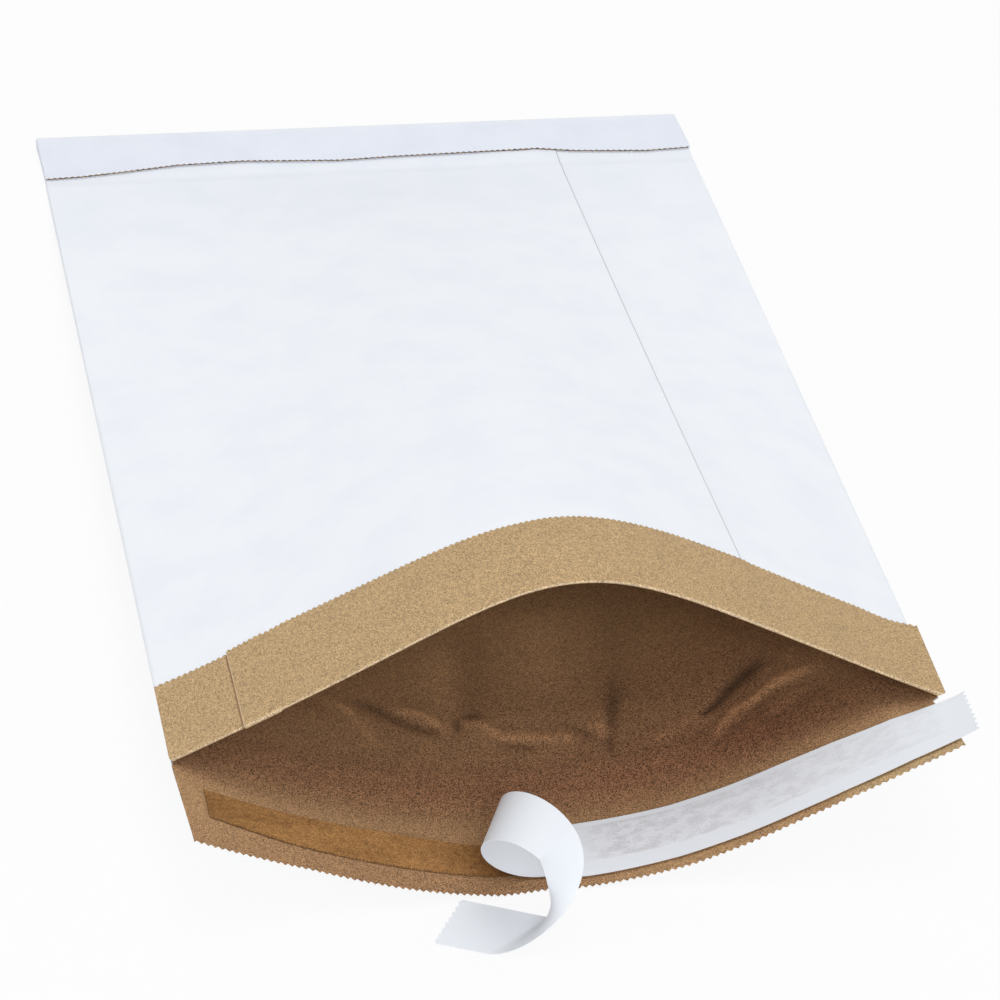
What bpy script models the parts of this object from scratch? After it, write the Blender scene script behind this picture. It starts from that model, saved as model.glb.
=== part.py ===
"""A self-seal padded mailing envelope, lying open on its back.

Five sheets make it: a white outer bag, a layer of fibre padding, a brown inner bag, a strip of
adhesive and a release liner that is half peeled off. Each starts as a flat grid and is folded
into place by a formula. Units are metres, +Z is up, the mouth faces -Y, and the origin is on the
flat underside, halfway along the tube.
"""

from math import cos, pi, sin, tan

import bmesh
import bpy
import numpy as np

MM = 0.001

# Sizes of the envelope, laid flat
WIDTH = 266.7 * MM
LENGTH = 406.4 * MM
LIP = 36.2 * MM
CUFF = 40.6 * MM
FLAP = 22.0 * MM
PLY = 0.2 * MM
PADDING = 3.0 * MM
GAP = 0.2 * MM

# Serrated cuts
TOOTH_PITCH = 2.4 * MM
TOOTH_DEPTH = 1.1 * MM

# Lengthways glued laps, as shares of the width from the left side
OUTER_LAP = 0.77
INNER_LAP = 0.09

# The open mouth: heights of its two side corners and how far they draw in
LEFT_HEIGHT = 32.0 * MM
RIGHT_HEIGHT = 36.5 * MM
LEFT_PULL = 8.6 * MM
RIGHT_PULL = 8.0 * MM

# The front panel's arch over the mouth, as slopes in radians along the panel
ARCH_SLOPE = 0.513
ARCH_TILT = 0.006
ARCH_CROWN = 0.513
ARCH_ROUNDNESS = 0.113
ARCH_LEFT_SAG = 0.057
ARCH_RIGHT_SAG = 0.036
SAG_SHARE = 0.4
ARCH_SAMPLES = 401

# The back panel's sag: its lowest line, its flat share and how its sides curve up
BACK_LOW = 0.46
BACK_FLAT_FAR = 0.40
BACK_FLAT_MOUTH = 0.03
BACK_CURVE = 1.66
LIP_LIFT_LEFT = 0.02
LIP_LIFT_RIGHT = 0.24
LIP_INSET = 2.0 * MM

# Where the panels start to part, measured from the far fold, and the padding's two ends
PART_START = 32.0 * MM
PART_EASE = 8.0 * MM
PADDING_START = 29.0 * MM
THIN_PADDING = 0.1 * MM
ROOM_SHARE = 0.4
LIP_FADE = 6.4 * MM

# Side folds
SIDE_BULGE = 0.25
PADDING_INSET = 0.3 * MM
INNER_INSET = 0.6 * MM

# Adhesive and release liner, measured from the mouth line or along the strip
ADHESIVE_START = 11.2 * MM
ADHESIVE_WIDTH = 15.5 * MM
ADHESIVE_LEFT = 7.0 * MM
ADHESIVE_RIGHT = 5.0 * MM
ADHESIVE_THICK = 0.2 * MM

LINER_WIDTH = 24.0 * MM
LINER_START = 8.8 * MM
LINER_OVERHANG = 8.0 * MM
LINER_THICK = 0.2 * MM
LINER_LIFT = 0.3 * MM
LINER_TEETH = 8
LINER_TUCK = 0.87

# The peeled liner's roll: its crease left of the bag's middle, skew in radians, radius and turn
ROLL_AT = 5.28 * MM
ROLL_SKEW = 0.449
ROLL_RADIUS = 17.53 * MM
ROLL_TURN = 3.381

# The liner's tail flat on the floor: the start of its inner edge, its direction in radians, its
# length, how much further left its outer edge starts, and how far each edge swings between
TAIL_X = -11.5 * MM
TAIL_PAST_MOUTH = 48.0 * MM
TAIL_ANGLE = 0.394
TAIL_LENGTH = 31.5 * MM
TAIL_SLANT = 15.4 * MM
TAIL_CLEARANCE = 0.15 * MM
INNER_SWING = (0.5 * MM, 12.6 * MM)
OUTER_SWING = (89.5 * MM, 45.5 * MM)

# Mesh density: cells across, steps round folds, and lengthways rows as distances or shares
CELLS = 22
BODY_ROWS = (0.3, 0.6)
MOUTH_ROW = 0.4 * MM
NORMAL_STEP = 0.002
LINER_STUCK_STEP = 11.0 * MM
LINER_PEELED_STEP = 4.0 * MM
LINER_CELLS = 2
LINER_BEND_STEPS = 12
LINER_TAIL_STEPS = 2
LINER_EASE = 12.0 * MM
TEETH_PER_CELL = max(1, round(WIDTH / CELLS / TOOTH_PITCH))
FOLD_STEPS = 4
WRAP_STEPS = 3
SIDE_SHARES = (0.5,)

# Worked out from the sizes above
LAP_RAISE = PLY + GAP
SIDE_PAD = THIN_PADDING + GAP
STACK = 2 * (2 * PLY + GAP) + GAP + LAP_RAISE
FOLD_RADIUS = LAP_RAISE + PLY / 2 + GAP / 2
FAR_Y = LENGTH / 2
OUTER_MID = PLY / 2
INNER_MID = PLY + GAP + PLY / 2
CUFF_MID = GAP + PLY / 2
OUTER_LAP_CELL = round(OUTER_LAP * CELLS)
INNER_LAP_CELL = round(INNER_LAP * CELLS)
ADHESIVE_HEIGHT = 2 * GAP + ADHESIVE_THICK / 2
LINER_HEIGHT = ADHESIVE_HEIGHT + ADHESIVE_THICK / 2 + LINER_LIFT + LINER_THICK / 2
WALL = 2 * PLY + GAP + SIDE_PAD


def arch_profile():
    """Return the front panel's line over the mouth as shares, x and z, left corner first."""
    share = np.linspace(0, 1, ARCH_SAMPLES)
    slope = ARCH_SLOPE * np.tanh((ARCH_CROWN - share) / ARCH_ROUNDNESS) + ARCH_TILT
    slope = slope - ARCH_LEFT_SAG * np.clip(1 - share / SAG_SHARE, 0, 1) ** 2
    slope = slope + ARCH_RIGHT_SAG * np.clip(1 - (1 - share) / SAG_SHARE, 0, 1) ** 2
    x = np.concatenate([[0], np.cumsum(np.cos(slope[1:]))])
    z = np.concatenate([[0], np.cumsum(np.sin(slope[1:]))])
    chord = WIDTH - LEFT_PULL - RIGHT_PULL
    scale = chord / x[-1]
    z = z * scale
    left = LEFT_HEIGHT + WALL
    right = RIGHT_HEIGHT + WALL
    z = left + z + (right - left - z[-1]) * share
    return share, LEFT_PULL - WIDTH / 2 + x * scale, z


ARCH = arch_profile()


def blend(low, high, share):
    """Mix two values, or two points, by a share from 0 to 1."""
    return low + (high - low) * share


def clamp(value):
    """Hold a share between 0 and 1."""
    return min(max(value, 0.0), 1.0)


def parting(along):
    """Share of the mouth's opening reached at a share of the length from the far fold."""
    start = PART_START / LENGTH
    ease = PART_EASE / LENGTH
    if along <= start - ease:
        return 0.0
    if along < start + ease:
        return (along - start + ease) ** 2 / (4 * ease) / (1 - start)
    return (along - start) / (1 - start)


def recession(rise, shift):
    """How far a raised mouth point draws back, its sheet being no longer than when flat."""
    run = LENGTH - PART_START
    return run - (run**2 - rise**2 - shift**2) ** 0.5


def side_stack(along):
    """Height of the side fold: four plies, and thin padding past the far end's flat zone."""
    padded = clamp((along * LENGTH - PADDING_START) / (PART_START - PADDING_START))
    return STACK + 2 * SIDE_PAD * padded


def front_outer(across, along):
    """Outer face of the front panel. Shares run from the left side and from the far fold."""
    part = parting(along)
    flat_x = WIDTH * (across - 0.5)
    mouth_x = np.interp(across, ARCH[0], ARCH[1])
    mouth_z = np.interp(across, ARCH[0], ARCH[2])
    back = recession(mouth_z, mouth_x - flat_x)
    y = FAR_Y - LENGTH * along + back * part
    z = blend(side_stack(along), mouth_z, part)
    return np.array([blend(flat_x, mouth_x, along), y, z])


def back_outer(across, along):
    """Outer face of the back panel, and of the lip where along is over 1."""
    part = parting(min(along, 1.0))
    flat_x = WIDTH * (across - 0.5)
    mouth_x = blend(LEFT_PULL - WIDTH / 2, WIDTH / 2 - RIGHT_PULL, across)
    flat_share = blend(BACK_FLAT_FAR, BACK_FLAT_MOUTH, part)
    if across < BACK_LOW:
        reach = (BACK_LOW - across - flat_share) / (BACK_LOW - flat_share)
        height = LEFT_HEIGHT - WALL
        lift = LIP_LIFT_LEFT
    else:
        reach = (across - BACK_LOW - flat_share) / (1 - BACK_LOW - flat_share)
        height = RIGHT_HEIGHT - WALL
        lift = LIP_LIFT_RIGHT
    curve = max(reach, 0.0) ** BACK_CURVE
    past_mouth = max(along - 1.0, 0.0) * LENGTH
    slope = height / LENGTH + lift
    back = recession(height * curve, 0.0)
    y = FAR_Y - LENGTH * along + back * part
    z = height * part * curve + past_mouth * slope * curve
    return np.array([blend(flat_x, mouth_x, along), y, z])


def outward(surface, across, along):
    """Outward normal of a panel and its unit direction toward the mouth."""
    left = surface(min(across, max(across - NORMAL_STEP, 0.0)), along)
    right = surface(max(across, min(across + NORMAL_STEP, 1.0)), along)
    toward = surface(across, along + NORMAL_STEP) - surface(across, along - NORMAL_STEP)
    normal = np.cross(toward, right - left)
    if surface is back_outer:
        normal = -normal
    return normal / np.linalg.norm(normal), toward / np.linalg.norm(toward)


def padding_room(across, along):
    """Distance between the two plies' near faces beyond one gap, at a place on either panel."""
    start = clamp((along * LENGTH - PADDING_START) / (PART_START - PADDING_START))
    if along > 1.0:
        past = (along - 1.0) * LENGTH
        return SIDE_PAD * clamp(1 - past / LIP_FADE)
    apart = front_outer(across, along)[2] - back_outer(across, along)[2] - side_stack(along)
    to_mouth = clamp((1 - along) * LENGTH / (CUFF - TOOTH_DEPTH))
    return start * (SIDE_PAD + min(PADDING * to_mouth, ROOM_SHARE * max(apart, 0.0)))


def panel_point(surface, across, along, depth):
    """A point at a depth below a panel's outer face; a negative depth lies outside it."""
    normal, _ = outward(surface, across, along)
    return surface(across, along) - normal * depth


def over_outer_lap(share):
    """How far the cuff rises to clear the outer bag's lap at a share of the width."""
    cell = round(share * CELLS)
    return LAP_RAISE if cell in (OUTER_LAP_CELL - 1, OUTER_LAP_CELL) else 0.0


class Layer:
    """One ply: how deep it lies, how far it stays in from the side folds, and its lap."""

    def __init__(self, depth, inset, lap_cell=None, lap_inward=False):
        """depth is a function of across and along that gives the depth of the ply's middle."""
        self.depth = depth
        self.inset = inset
        self.lap_cell = lap_cell
        self.lap_inward = lap_inward

    def columns(self):
        """List the sheet's columns, once round the tube, as (place, cell share, raise)."""
        front = [("front", cell / CELLS, 0.0) for cell in range(CELLS + 1)]
        back = [("back", cell / CELLS, 0.0) for cell in range(CELLS, -1, -1)]
        right = [("right", share, 0.0) for share in SIDE_SHARES]
        left = [("left", share, 0.0) for share in reversed(SIDE_SHARES)]
        if self.lap_cell is None:
            return front + right + back + left + [front[0]]
        cell = self.lap_cell
        if self.lap_inward:
            raised = [("front", (cell + step) / CELLS, LAP_RAISE) for step in (0, 1)]
            return raised + front[cell + 2:] + right + back + left + front[: cell + 2]
        raised = [("front", (cell + step) / CELLS, -LAP_RAISE) for step in (-1, 0)]
        return front[cell - 1:] + right + back + left + front[: cell - 1] + raised

    def across(self, share, along):
        """Share of the panel's width for a column, inside the side inset and the lip's notch."""
        inset = self.inset + (LIP_INSET if along > 1.0 else 0.0)
        return inset / WIDTH + share * (1 - 2 * inset / WIDTH)

    def tube(self, column, along):
        """Place a column's point on the tube, or on the lip past the mouth."""
        place, share, lap = column
        if place in ("front", "back"):
            surface = front_outer if place == "front" else back_outer
            across = self.across(share, along)
            return panel_point(surface, across, along, self.depth(across, along) + lap)
        edge = 1.0 if place == "right" else 0.0
        top = self.tube(("front", edge, 0.0), along)
        bottom = self.tube(("back", edge, 0.0), along)
        point = blend(top, bottom, share)
        point[0] += (edge * 2 - 1) * SIDE_BULGE * (top[2] - bottom[2])
        return point

    def fold(self, column, angle, past):
        """Place a point on the far fold, or past it on the flap that lies on the front."""
        flat = self.tube(column, 0.0)
        radius = FOLD_RADIUS + STACK - flat[2]
        y = FAR_Y + radius * sin(angle) - past
        return np.array([flat[0], y, STACK + FOLD_RADIUS - radius * cos(angle)])

    def wrap(self, column, angle):
        """Place a point where the front of the inner bag folds out round the mouth's edge."""
        _, share, lap = column
        across = self.across(share, 1.0)
        normal, toward = outward(front_outer, across, 1.0)
        inside = self.depth(across, 1.0)
        radius = (inside + CUFF_MID) / 2
        centre = front_outer(across, 1.0) - normal * (inside - radius)
        over = over_outer_lap(share) * (1 - cos(angle)) / 2
        return centre + (radius + lap + over) * (toward * sin(angle) - normal * cos(angle))

    def cuff(self, column, length):
        """Place a point on the cuff at a distance from the mouth."""
        _, share, lap = column
        along = 1 - length / LENGTH
        across = self.across(share, 1.0)
        return panel_point(front_outer, across, along, -CUFF_MID - lap - over_outer_lap(share))


def sheet_mesh(columns, rows, place, keep):
    """Fold a flat grid: place every vertex, then drop the faces that keep turns down."""
    mesh = bmesh.new()
    across = len(columns) - 1
    along = len(rows) - 1
    bmesh.ops.create_grid(mesh, x_segments=across, y_segments=along, size=0.5)
    cell_of = {}
    for vertex in mesh.verts:
        column = round((vertex.co.x + 0.5) * across)
        row = round((vertex.co.y + 0.5) * along)
        cell_of[vertex] = (column, row)
    dropped = []
    for face in mesh.faces:
        column = min(cell_of[vertex][0] for vertex in face.verts)
        row = min(cell_of[vertex][1] for vertex in face.verts)
        if not keep(column, row):
            dropped.append(face)
    bmesh.ops.delete(mesh, geom=dropped, context="FACES")
    grid = {cell_of[vertex]: vertex for vertex in mesh.verts}
    for (column, row), vertex in grid.items():
        vertex.co = place(columns[column], rows[row])
    return mesh, grid


def cut_teeth(mesh, grid, cells, row, previous, teeth=TEETH_PER_CELL):
    """Serrate a sheet's end: split its end edges and pull every second new vertex outward."""
    splits = 2 * teeth
    for column in cells:
        start, end = grid[column, row], grid[column + 1, row]
        pull = (start.co - grid[column, previous].co).normalized() * TOOTH_DEPTH
        edge = mesh.edges.get((start, end))
        for step in range(1, splits):
            other, vertex = bmesh.utils.edge_split(edge, start, 1 / (splits - step + 1))
            edge = other if end in other.verts else edge
            start = vertex
            if step % 2:
                grid[column, row, step] = vertex
        for step in range(1, splits, 2):
            grid[column, row, step].co += pull


def sheet_object(name, mesh, material, thickness):
    """Turn a folded sheet into an object with Solidify giving its thickness."""
    quads = [face for face in mesh.faces if len(face.verts) == 4]
    bmesh.ops.triangulate(mesh, faces=quads, quad_method="FIXED")
    others = [face for face in mesh.faces if len(face.verts) > 4]
    bmesh.ops.triangulate(mesh, faces=others, ngon_method="EAR_CLIP")
    data = bpy.data.meshes.new(name)
    mesh.to_mesh(data)
    mesh.free()
    data.materials.append(material)
    thing = bpy.data.objects.new(name, data)
    PARTS.objects.link(thing)
    solidify = thing.modifiers.new("thickness", "SOLIDIFY")
    solidify.thickness = thickness
    solidify.offset = 0.0
    return thing


def make_material(name, colour, roughness):
    """Make a plain Principled material."""
    material = bpy.data.materials.new(name)
    material.use_nodes = True
    shader = material.node_tree.nodes["Principled BSDF"]
    shader.inputs["Base Color"].default_value = (*colour, 1.0)
    shader.inputs["Roughness"].default_value = roughness
    shader.inputs["Metallic"].default_value = 0.0
    return material


def tube_rows(start):
    """Rows along the tube, from a distance past the far fold to the mouth."""
    cuff_base = CUFF - TOOTH_DEPTH
    distances = [start, PART_START - PART_EASE, PART_START, PART_START + PART_EASE]
    distances += [PART_START + 3 * PART_EASE]
    distances += [share * LENGTH for share in BODY_ROWS] + [LENGTH - cuff_base]
    return [("tube", distance / LENGTH) for distance in distances]


def fold_rows():
    """Rows on the flap and round the far fold, the flap's serrated end first."""
    rows = [("fold", pi, FLAP - TOOTH_DEPTH)]
    return rows + [("fold", pi * (FOLD_STEPS - step) / FOLD_STEPS, 0.0) for step in range(FOLD_STEPS)]


def lip_rows():
    """Distances from the mouth of the lip's rows: the adhesive's edges and the teeth's roots."""
    return [ADHESIVE_START, ADHESIVE_START + ADHESIVE_WIDTH, LIP - TOOTH_DEPTH]


def place_on(layer, column, row):
    """Place one vertex of a layer from its column and its row."""
    kind = row[0]
    if kind == "fold":
        return layer.fold(column, row[1], row[2])
    if kind == "tube":
        return layer.tube(column, row[1])
    front_row, lip_row = row[1], row[2]
    if column[0] == "back":
        return layer.tube(column, 1 + lip_row / LENGTH)
    if front_row[0] == "wrap":
        return layer.wrap(column, front_row[1])
    if front_row[0] == "cuff":
        return layer.cuff(column, front_row[1])
    return place_on(layer, column, front_row)


def end_cells(columns, place):
    """Indices of the cells between two columns of one panel."""
    pairs = zip(columns, columns[1:])
    return [index for index, pair in enumerate(pairs) if pair[0][0] == pair[1][0] == place]


def make_outer_bag(material):
    """Build the white bag: tube, folded far end and the outside of the lip."""
    layer = Layer(lambda across, along: OUTER_MID, 0.0, OUTER_LAP_CELL)
    columns = layer.columns()
    rows = fold_rows() + tube_rows(0.0) + [("tube", 1 - MOUTH_ROW / LENGTH)]
    mouth = len(rows) - 1
    rows += [("end", rows[mouth], distance) for distance in lip_rows()]
    back = end_cells(columns, "back")
    mesh, grid = sheet_mesh(
        columns,
        rows,
        lambda column, row: place_on(layer, column, row),
        lambda column, row: row < mouth or column in back,
    )
    cut_teeth(mesh, grid, back, len(rows) - 1, len(rows) - 2)
    cut_teeth(mesh, grid, back, 0, 1)
    return sheet_object("outer_bag", mesh, material, PLY)


def make_inner_bag(material):
    """Build the brown bag: tube, folded far end, cuff and lip lining."""

    def depth(across, along):
        return INNER_MID + padding_room(across, along)

    layer = Layer(depth, INNER_INSET, INNER_LAP_CELL, lap_inward=True)
    columns = layer.columns()
    rows = fold_rows() + tube_rows(0.0) + [("tube", 1.0)]
    mouth = len(rows) - 1
    ends = [("wrap", pi * (step + 1) / WRAP_STEPS) for step in range(WRAP_STEPS)]
    ends += [("cuff", CUFF - TOOTH_DEPTH)]
    lips = lip_rows() + [LIP] * len(ends)
    rows += [("end", end, lips[step]) for step, end in enumerate(ends)]
    last_lip = mouth + len(lip_rows())
    front = end_cells(columns, "front")
    back = end_cells(columns, "back")

    def keep(column, row):
        if row < mouth or column in front:
            return True
        return column in back and row < last_lip

    mesh, grid = sheet_mesh(columns, rows, lambda column, row: place_on(layer, column, row), keep)
    cut_teeth(mesh, grid, back, last_lip, last_lip - 1)
    cut_teeth(mesh, grid, front, len(rows) - 1, len(rows) - 2)
    return sheet_object("inner_bag", mesh, material, PLY)


def make_padding(material):
    """Build the padding between the bags, thick in the panels and thin at folds and mouth."""

    def thickness(across, along):
        return padding_room(across, along) - GAP

    def depth(across, along):
        return PLY + GAP + thickness(across, along) / 2

    layer = Layer(depth, PADDING_INSET)
    columns = layer.columns()
    rows = [("tube", PART_START / LENGTH)] + tube_rows(0.0)[3:] + [("tube", 1 - MOUTH_ROW / LENGTH)]
    mesh, grid = sheet_mesh(
        columns, rows, lambda column, row: layer.tube(column, row[1]), lambda column, row: True
    )
    weights = {}
    for (column, row), vertex in grid.items():
        place, share, _ = columns[column]
        edge = {"left": 0.0, "right": 1.0}.get(place, share)
        across = layer.across(edge, rows[row][1])
        weights[tuple(vertex.co)] = thickness(across, rows[row][1]) / (PADDING + THIN_PADDING)
    bmesh.ops.remove_doubles(mesh, verts=mesh.verts[:], dist=GAP / 10)
    thing = sheet_object("padding", mesh, material, PADDING + THIN_PADDING)
    group = thing.vertex_groups.new(name="thickness")
    for vertex in thing.data.vertices:
        group.add([vertex.index], weights[tuple(vertex.co)], "REPLACE")
    thing.modifiers["thickness"].vertex_group = group.name
    return thing


def lip_point(across_metres, past_mouth, height):
    """A point over the lip's lining: metres from its left side, past the mouth and above it."""
    across = (LIP_INSET + across_metres) / WIDTH
    depth = INNER_MID + PLY / 2 + height
    return panel_point(back_outer, across, 1 + past_mouth / LENGTH, depth)


def make_adhesive(material):
    """Build the adhesive band across the inside of the lip."""
    right = WIDTH - 2 * LIP_INSET - ADHESIVE_RIGHT
    columns = [blend(ADHESIVE_LEFT, right, cell / CELLS) for cell in range(CELLS + 1)]
    rows = [ADHESIVE_START, ADHESIVE_START + ADHESIVE_WIDTH]
    mesh, _ = sheet_mesh(
        columns,
        rows,
        lambda column, row: lip_point(column, row, ADHESIVE_HEIGHT),
        lambda column, row: True,
    )
    return sheet_object("adhesive_strip", mesh, material, ADHESIVE_THICK)


def roll(x, y, middle_y):
    """Roll a point of a flat strip, which runs toward -X, upward if it lies past the crease."""
    ahead = np.array([-cos(ROLL_SKEW), sin(ROLL_SKEW), 0.0])
    sideways = np.array([sin(ROLL_SKEW), cos(ROLL_SKEW), 0.0])
    from_crease = np.array([x + ROLL_AT, y - middle_y, 0.0])
    past = from_crease @ ahead
    if past <= 0:
        return np.array([x, y, 0.0])
    angle = past / ROLL_RADIUS
    point = np.array([-ROLL_AT, middle_y, ROLL_RADIUS * (1 - cos(angle))])
    return point + ROLL_RADIUS * sin(angle) * ahead + (from_crease @ sideways) * sideways


def liner_point(row, across):
    """Place a point of the liner, across from its edge by the mouth."""
    kind, amount = row
    middle_y = FAR_Y - LENGTH - LINER_START - LINER_WIDTH / 2
    lift = INNER_MID + PLY / 2 + LINER_HEIGHT
    peel = LINER_EASE - ROLL_AT
    cut = -ROLL_AT - ROLL_RADIUS * ROLL_TURN / cos(ROLL_SKEW)
    x = amount if kind == "strip" else cut
    peeled = clamp((peel - x) / LINER_EASE)
    width = LINER_WIDTH * blend(1.0, LINER_TUCK, peeled)
    aside = width * (0.5 - across / LINER_WIDTH)
    skewed = clamp((peel - x) / (peel - cut))
    point = roll(x + aside * tan(ROLL_SKEW) * skewed, middle_y + aside, middle_y)
    point[2] += lift
    if kind == "strip":
        share = (x + WIDTH / 2 - LEFT_PULL) / (WIDTH - LEFT_PULL - RIGHT_PULL)
        stuck = lip_point(share * WIDTH - LIP_INSET, LINER_START + across, LINER_HEIGHT)
        return blend(stuck, point, peeled)
    outer = 1 - across / LINER_WIDTH
    along_tail = np.array([-cos(TAIL_ANGLE), sin(TAIL_ANGLE), 0.0])
    across_tail = np.array([-sin(TAIL_ANGLE), -cos(TAIL_ANGLE), 0.0])
    height = TAIL_CLEARANCE + LINER_THICK / 2
    start = np.array([TAIL_X, FAR_Y - LENGTH - TAIL_PAST_MOUTH, height])
    start = start + along_tail * TAIL_SLANT * outer + across_tail * width * outer
    if kind == "tail":
        return start + along_tail * (TAIL_LENGTH - TAIL_SLANT * outer) * amount
    run = cos(ROLL_SKEW)
    leaving = np.array([-run * cos(ROLL_TURN) * run, run * cos(ROLL_TURN) * sin(ROLL_SKEW), 0.0])
    leaving = leaving - sin(ROLL_SKEW) * np.array([sin(ROLL_SKEW), cos(ROLL_SKEW), 0.0])
    leaving[2] = run * sin(ROLL_TURN)
    leave_swing = blend(INNER_SWING[0], OUTER_SWING[0], outer)
    arrive_swing = blend(INNER_SWING[1], OUTER_SWING[1], outer)
    square, cube = amount**2, amount**3
    bend = (2 * cube - 3 * square + 1) * point + (3 * square - 2 * cube) * start
    bend = bend + (cube - 2 * square + amount) * leave_swing * leaving
    return bend + (cube - square) * arrive_swing * along_tail


def make_liner(material):
    """Build the release liner: stuck to the right half of the lip, rolled over and down."""
    right = WIDTH / 2 - RIGHT_PULL + LINER_OVERHANG - TOOTH_DEPTH
    peel = LINER_EASE - ROLL_AT
    cut = -ROLL_AT - ROLL_RADIUS * ROLL_TURN / cos(ROLL_SKEW)
    stuck = round((right - peel) / LINER_STUCK_STEP)
    peeled = round((peel - cut) / LINER_PEELED_STEP)
    rows = [("strip", blend(right, peel, step / stuck)) for step in range(stuck)]
    rows += [("strip", blend(peel, cut, step / peeled)) for step in range(peeled + 1)]
    rows += [("bend", (step + 1) / LINER_BEND_STEPS) for step in range(LINER_BEND_STEPS)]
    rows += [("tail", (step + 1) / LINER_TAIL_STEPS) for step in range(LINER_TAIL_STEPS)]
    columns = [LINER_WIDTH * cell / LINER_CELLS for cell in range(LINER_CELLS + 1)]
    mesh, grid = sheet_mesh(
        columns, rows, lambda column, row: liner_point(row, column), lambda column, row: True
    )
    for end, before in ((0, 1), (len(rows) - 1, len(rows) - 2)):
        cut_teeth(mesh, grid, range(LINER_CELLS), end, before, LINER_TEETH // LINER_CELLS)
    return sheet_object("release_liner", mesh, material, LINER_THICK)


for old in list(bpy.data.objects):
    bpy.data.objects.remove(old, do_unlink=True)
PARTS = bpy.data.collections.new("padded_envelope")
bpy.context.scene.collection.children.link(PARTS)

make_outer_bag(make_material("white_paper", (0.86, 0.87, 0.92), 0.75))
make_inner_bag(make_material("brown_kraft", (0.40, 0.26, 0.15), 0.85))
make_padding(make_material("grey_fibre", (0.30, 0.29, 0.28), 0.95))
make_adhesive(make_material("hot_melt", (0.30, 0.13, 0.05), 0.45))
make_liner(make_material("liner_paper", (0.80, 0.81, 0.84), 0.5))
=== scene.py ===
"""Dresses a self-seal padded mailing envelope that lies open on its back.

A white outer bag, grey fibre padding and a brown kraft inner bag are folded from flat sheets.
A band of amber adhesive lies on the lip, and its release liner is half peeled and curls over
the lip's edge. Units are metres, +Z is up and the mouth faces -Y.
"""

import logging
import math
from collections.abc import Callable
from dataclasses import dataclass, field
from enum import Enum

import bpy
import numpy as np
from mathutils import Matrix, Vector


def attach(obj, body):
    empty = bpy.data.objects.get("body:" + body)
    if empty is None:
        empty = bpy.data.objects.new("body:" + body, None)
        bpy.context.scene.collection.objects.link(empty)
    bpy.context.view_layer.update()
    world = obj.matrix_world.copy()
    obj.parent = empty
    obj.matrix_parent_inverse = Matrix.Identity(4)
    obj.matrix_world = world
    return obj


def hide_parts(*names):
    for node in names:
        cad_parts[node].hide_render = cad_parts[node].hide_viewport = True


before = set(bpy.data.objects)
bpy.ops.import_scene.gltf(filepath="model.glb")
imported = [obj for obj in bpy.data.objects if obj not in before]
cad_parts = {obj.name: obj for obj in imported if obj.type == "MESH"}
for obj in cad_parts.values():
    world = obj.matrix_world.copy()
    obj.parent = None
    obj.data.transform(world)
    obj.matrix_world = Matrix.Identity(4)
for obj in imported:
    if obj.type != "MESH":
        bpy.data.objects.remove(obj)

LOG = logging.getLogger("padded_envelope")
MM = 0.001
Array = np.ndarray
Colour = tuple[float, float, float]
Table = tuple[tuple[float, float], ...]
Surface = Callable[[Array, Array], Array]
SMOOTH_ANGLE = math.radians(40)


class Panel(Enum):
    """The faces of the flattened tube that a column of a sheet can lie on."""

    FRONT = 0
    RIGHT = 1
    BACK = 2
    LEFT = 3


class Stretch(Enum):
    """The stretches of a sheet that a row can lie on, from the flap's end onward."""

    FLAP = 0
    FOLD = 1
    TUBE = 2
    WRAP = 3
    CUFF = 4
    LIP = 5


def linear(red: int, green: int, blue: int) -> Colour:
    """Turn a display colour into the linear colour that a shader takes.

    Args:
        red: the display red, from 0 to 255.
        green: the display green, from 0 to 255.
        blue: the display blue, from 0 to 255.

    Returns:
        The linear colour.
    """
    shares = (value / 255 for value in (red, green, blue))
    return tuple(s / 12.92 if s <= 0.04045 else ((s + 0.055) / 1.055) ** 2.4 for s in shares)


def blend(low: Array | float, high: Array | float, share: Array | float) -> Array | float:
    """Mix two values by a share from 0 to 1.

    Args:
        low: the value at share 0.
        high: the value at share 1.
        share: how far to go.

    Returns:
        The mixed value.
    """
    return low + (high - low) * share


def mix_points(low: Array, high: Array, share: Array) -> Array:
    """Mix two rows of points by one share for each.

    Args:
        low: the points at share 0.
        high: the points at share 1.
        share: one share for each point.

    Returns:
        The mixed points.
    """
    return low + (high - low) * share[..., None]


def ramp(value: Array | float, start: float, run: float) -> Array | float:
    """Rise in a straight line from 0 at a start to 1 at a run further on."""
    return np.clip((value - start) / run, 0, 1)


def read_table(table: Table, place: Array | float, unit: float = 1.0) -> Array | float:
    """Read a table of values, in straight lines from place to place.

    Args:
        table: places in rising order, each with its value.
        place: where to read.
        unit: what a value of 1 stands for.

    Returns:
        The values.
    """
    return np.interp(place, [at for at, _ in table], [value * unit for _, value in table])


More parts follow.
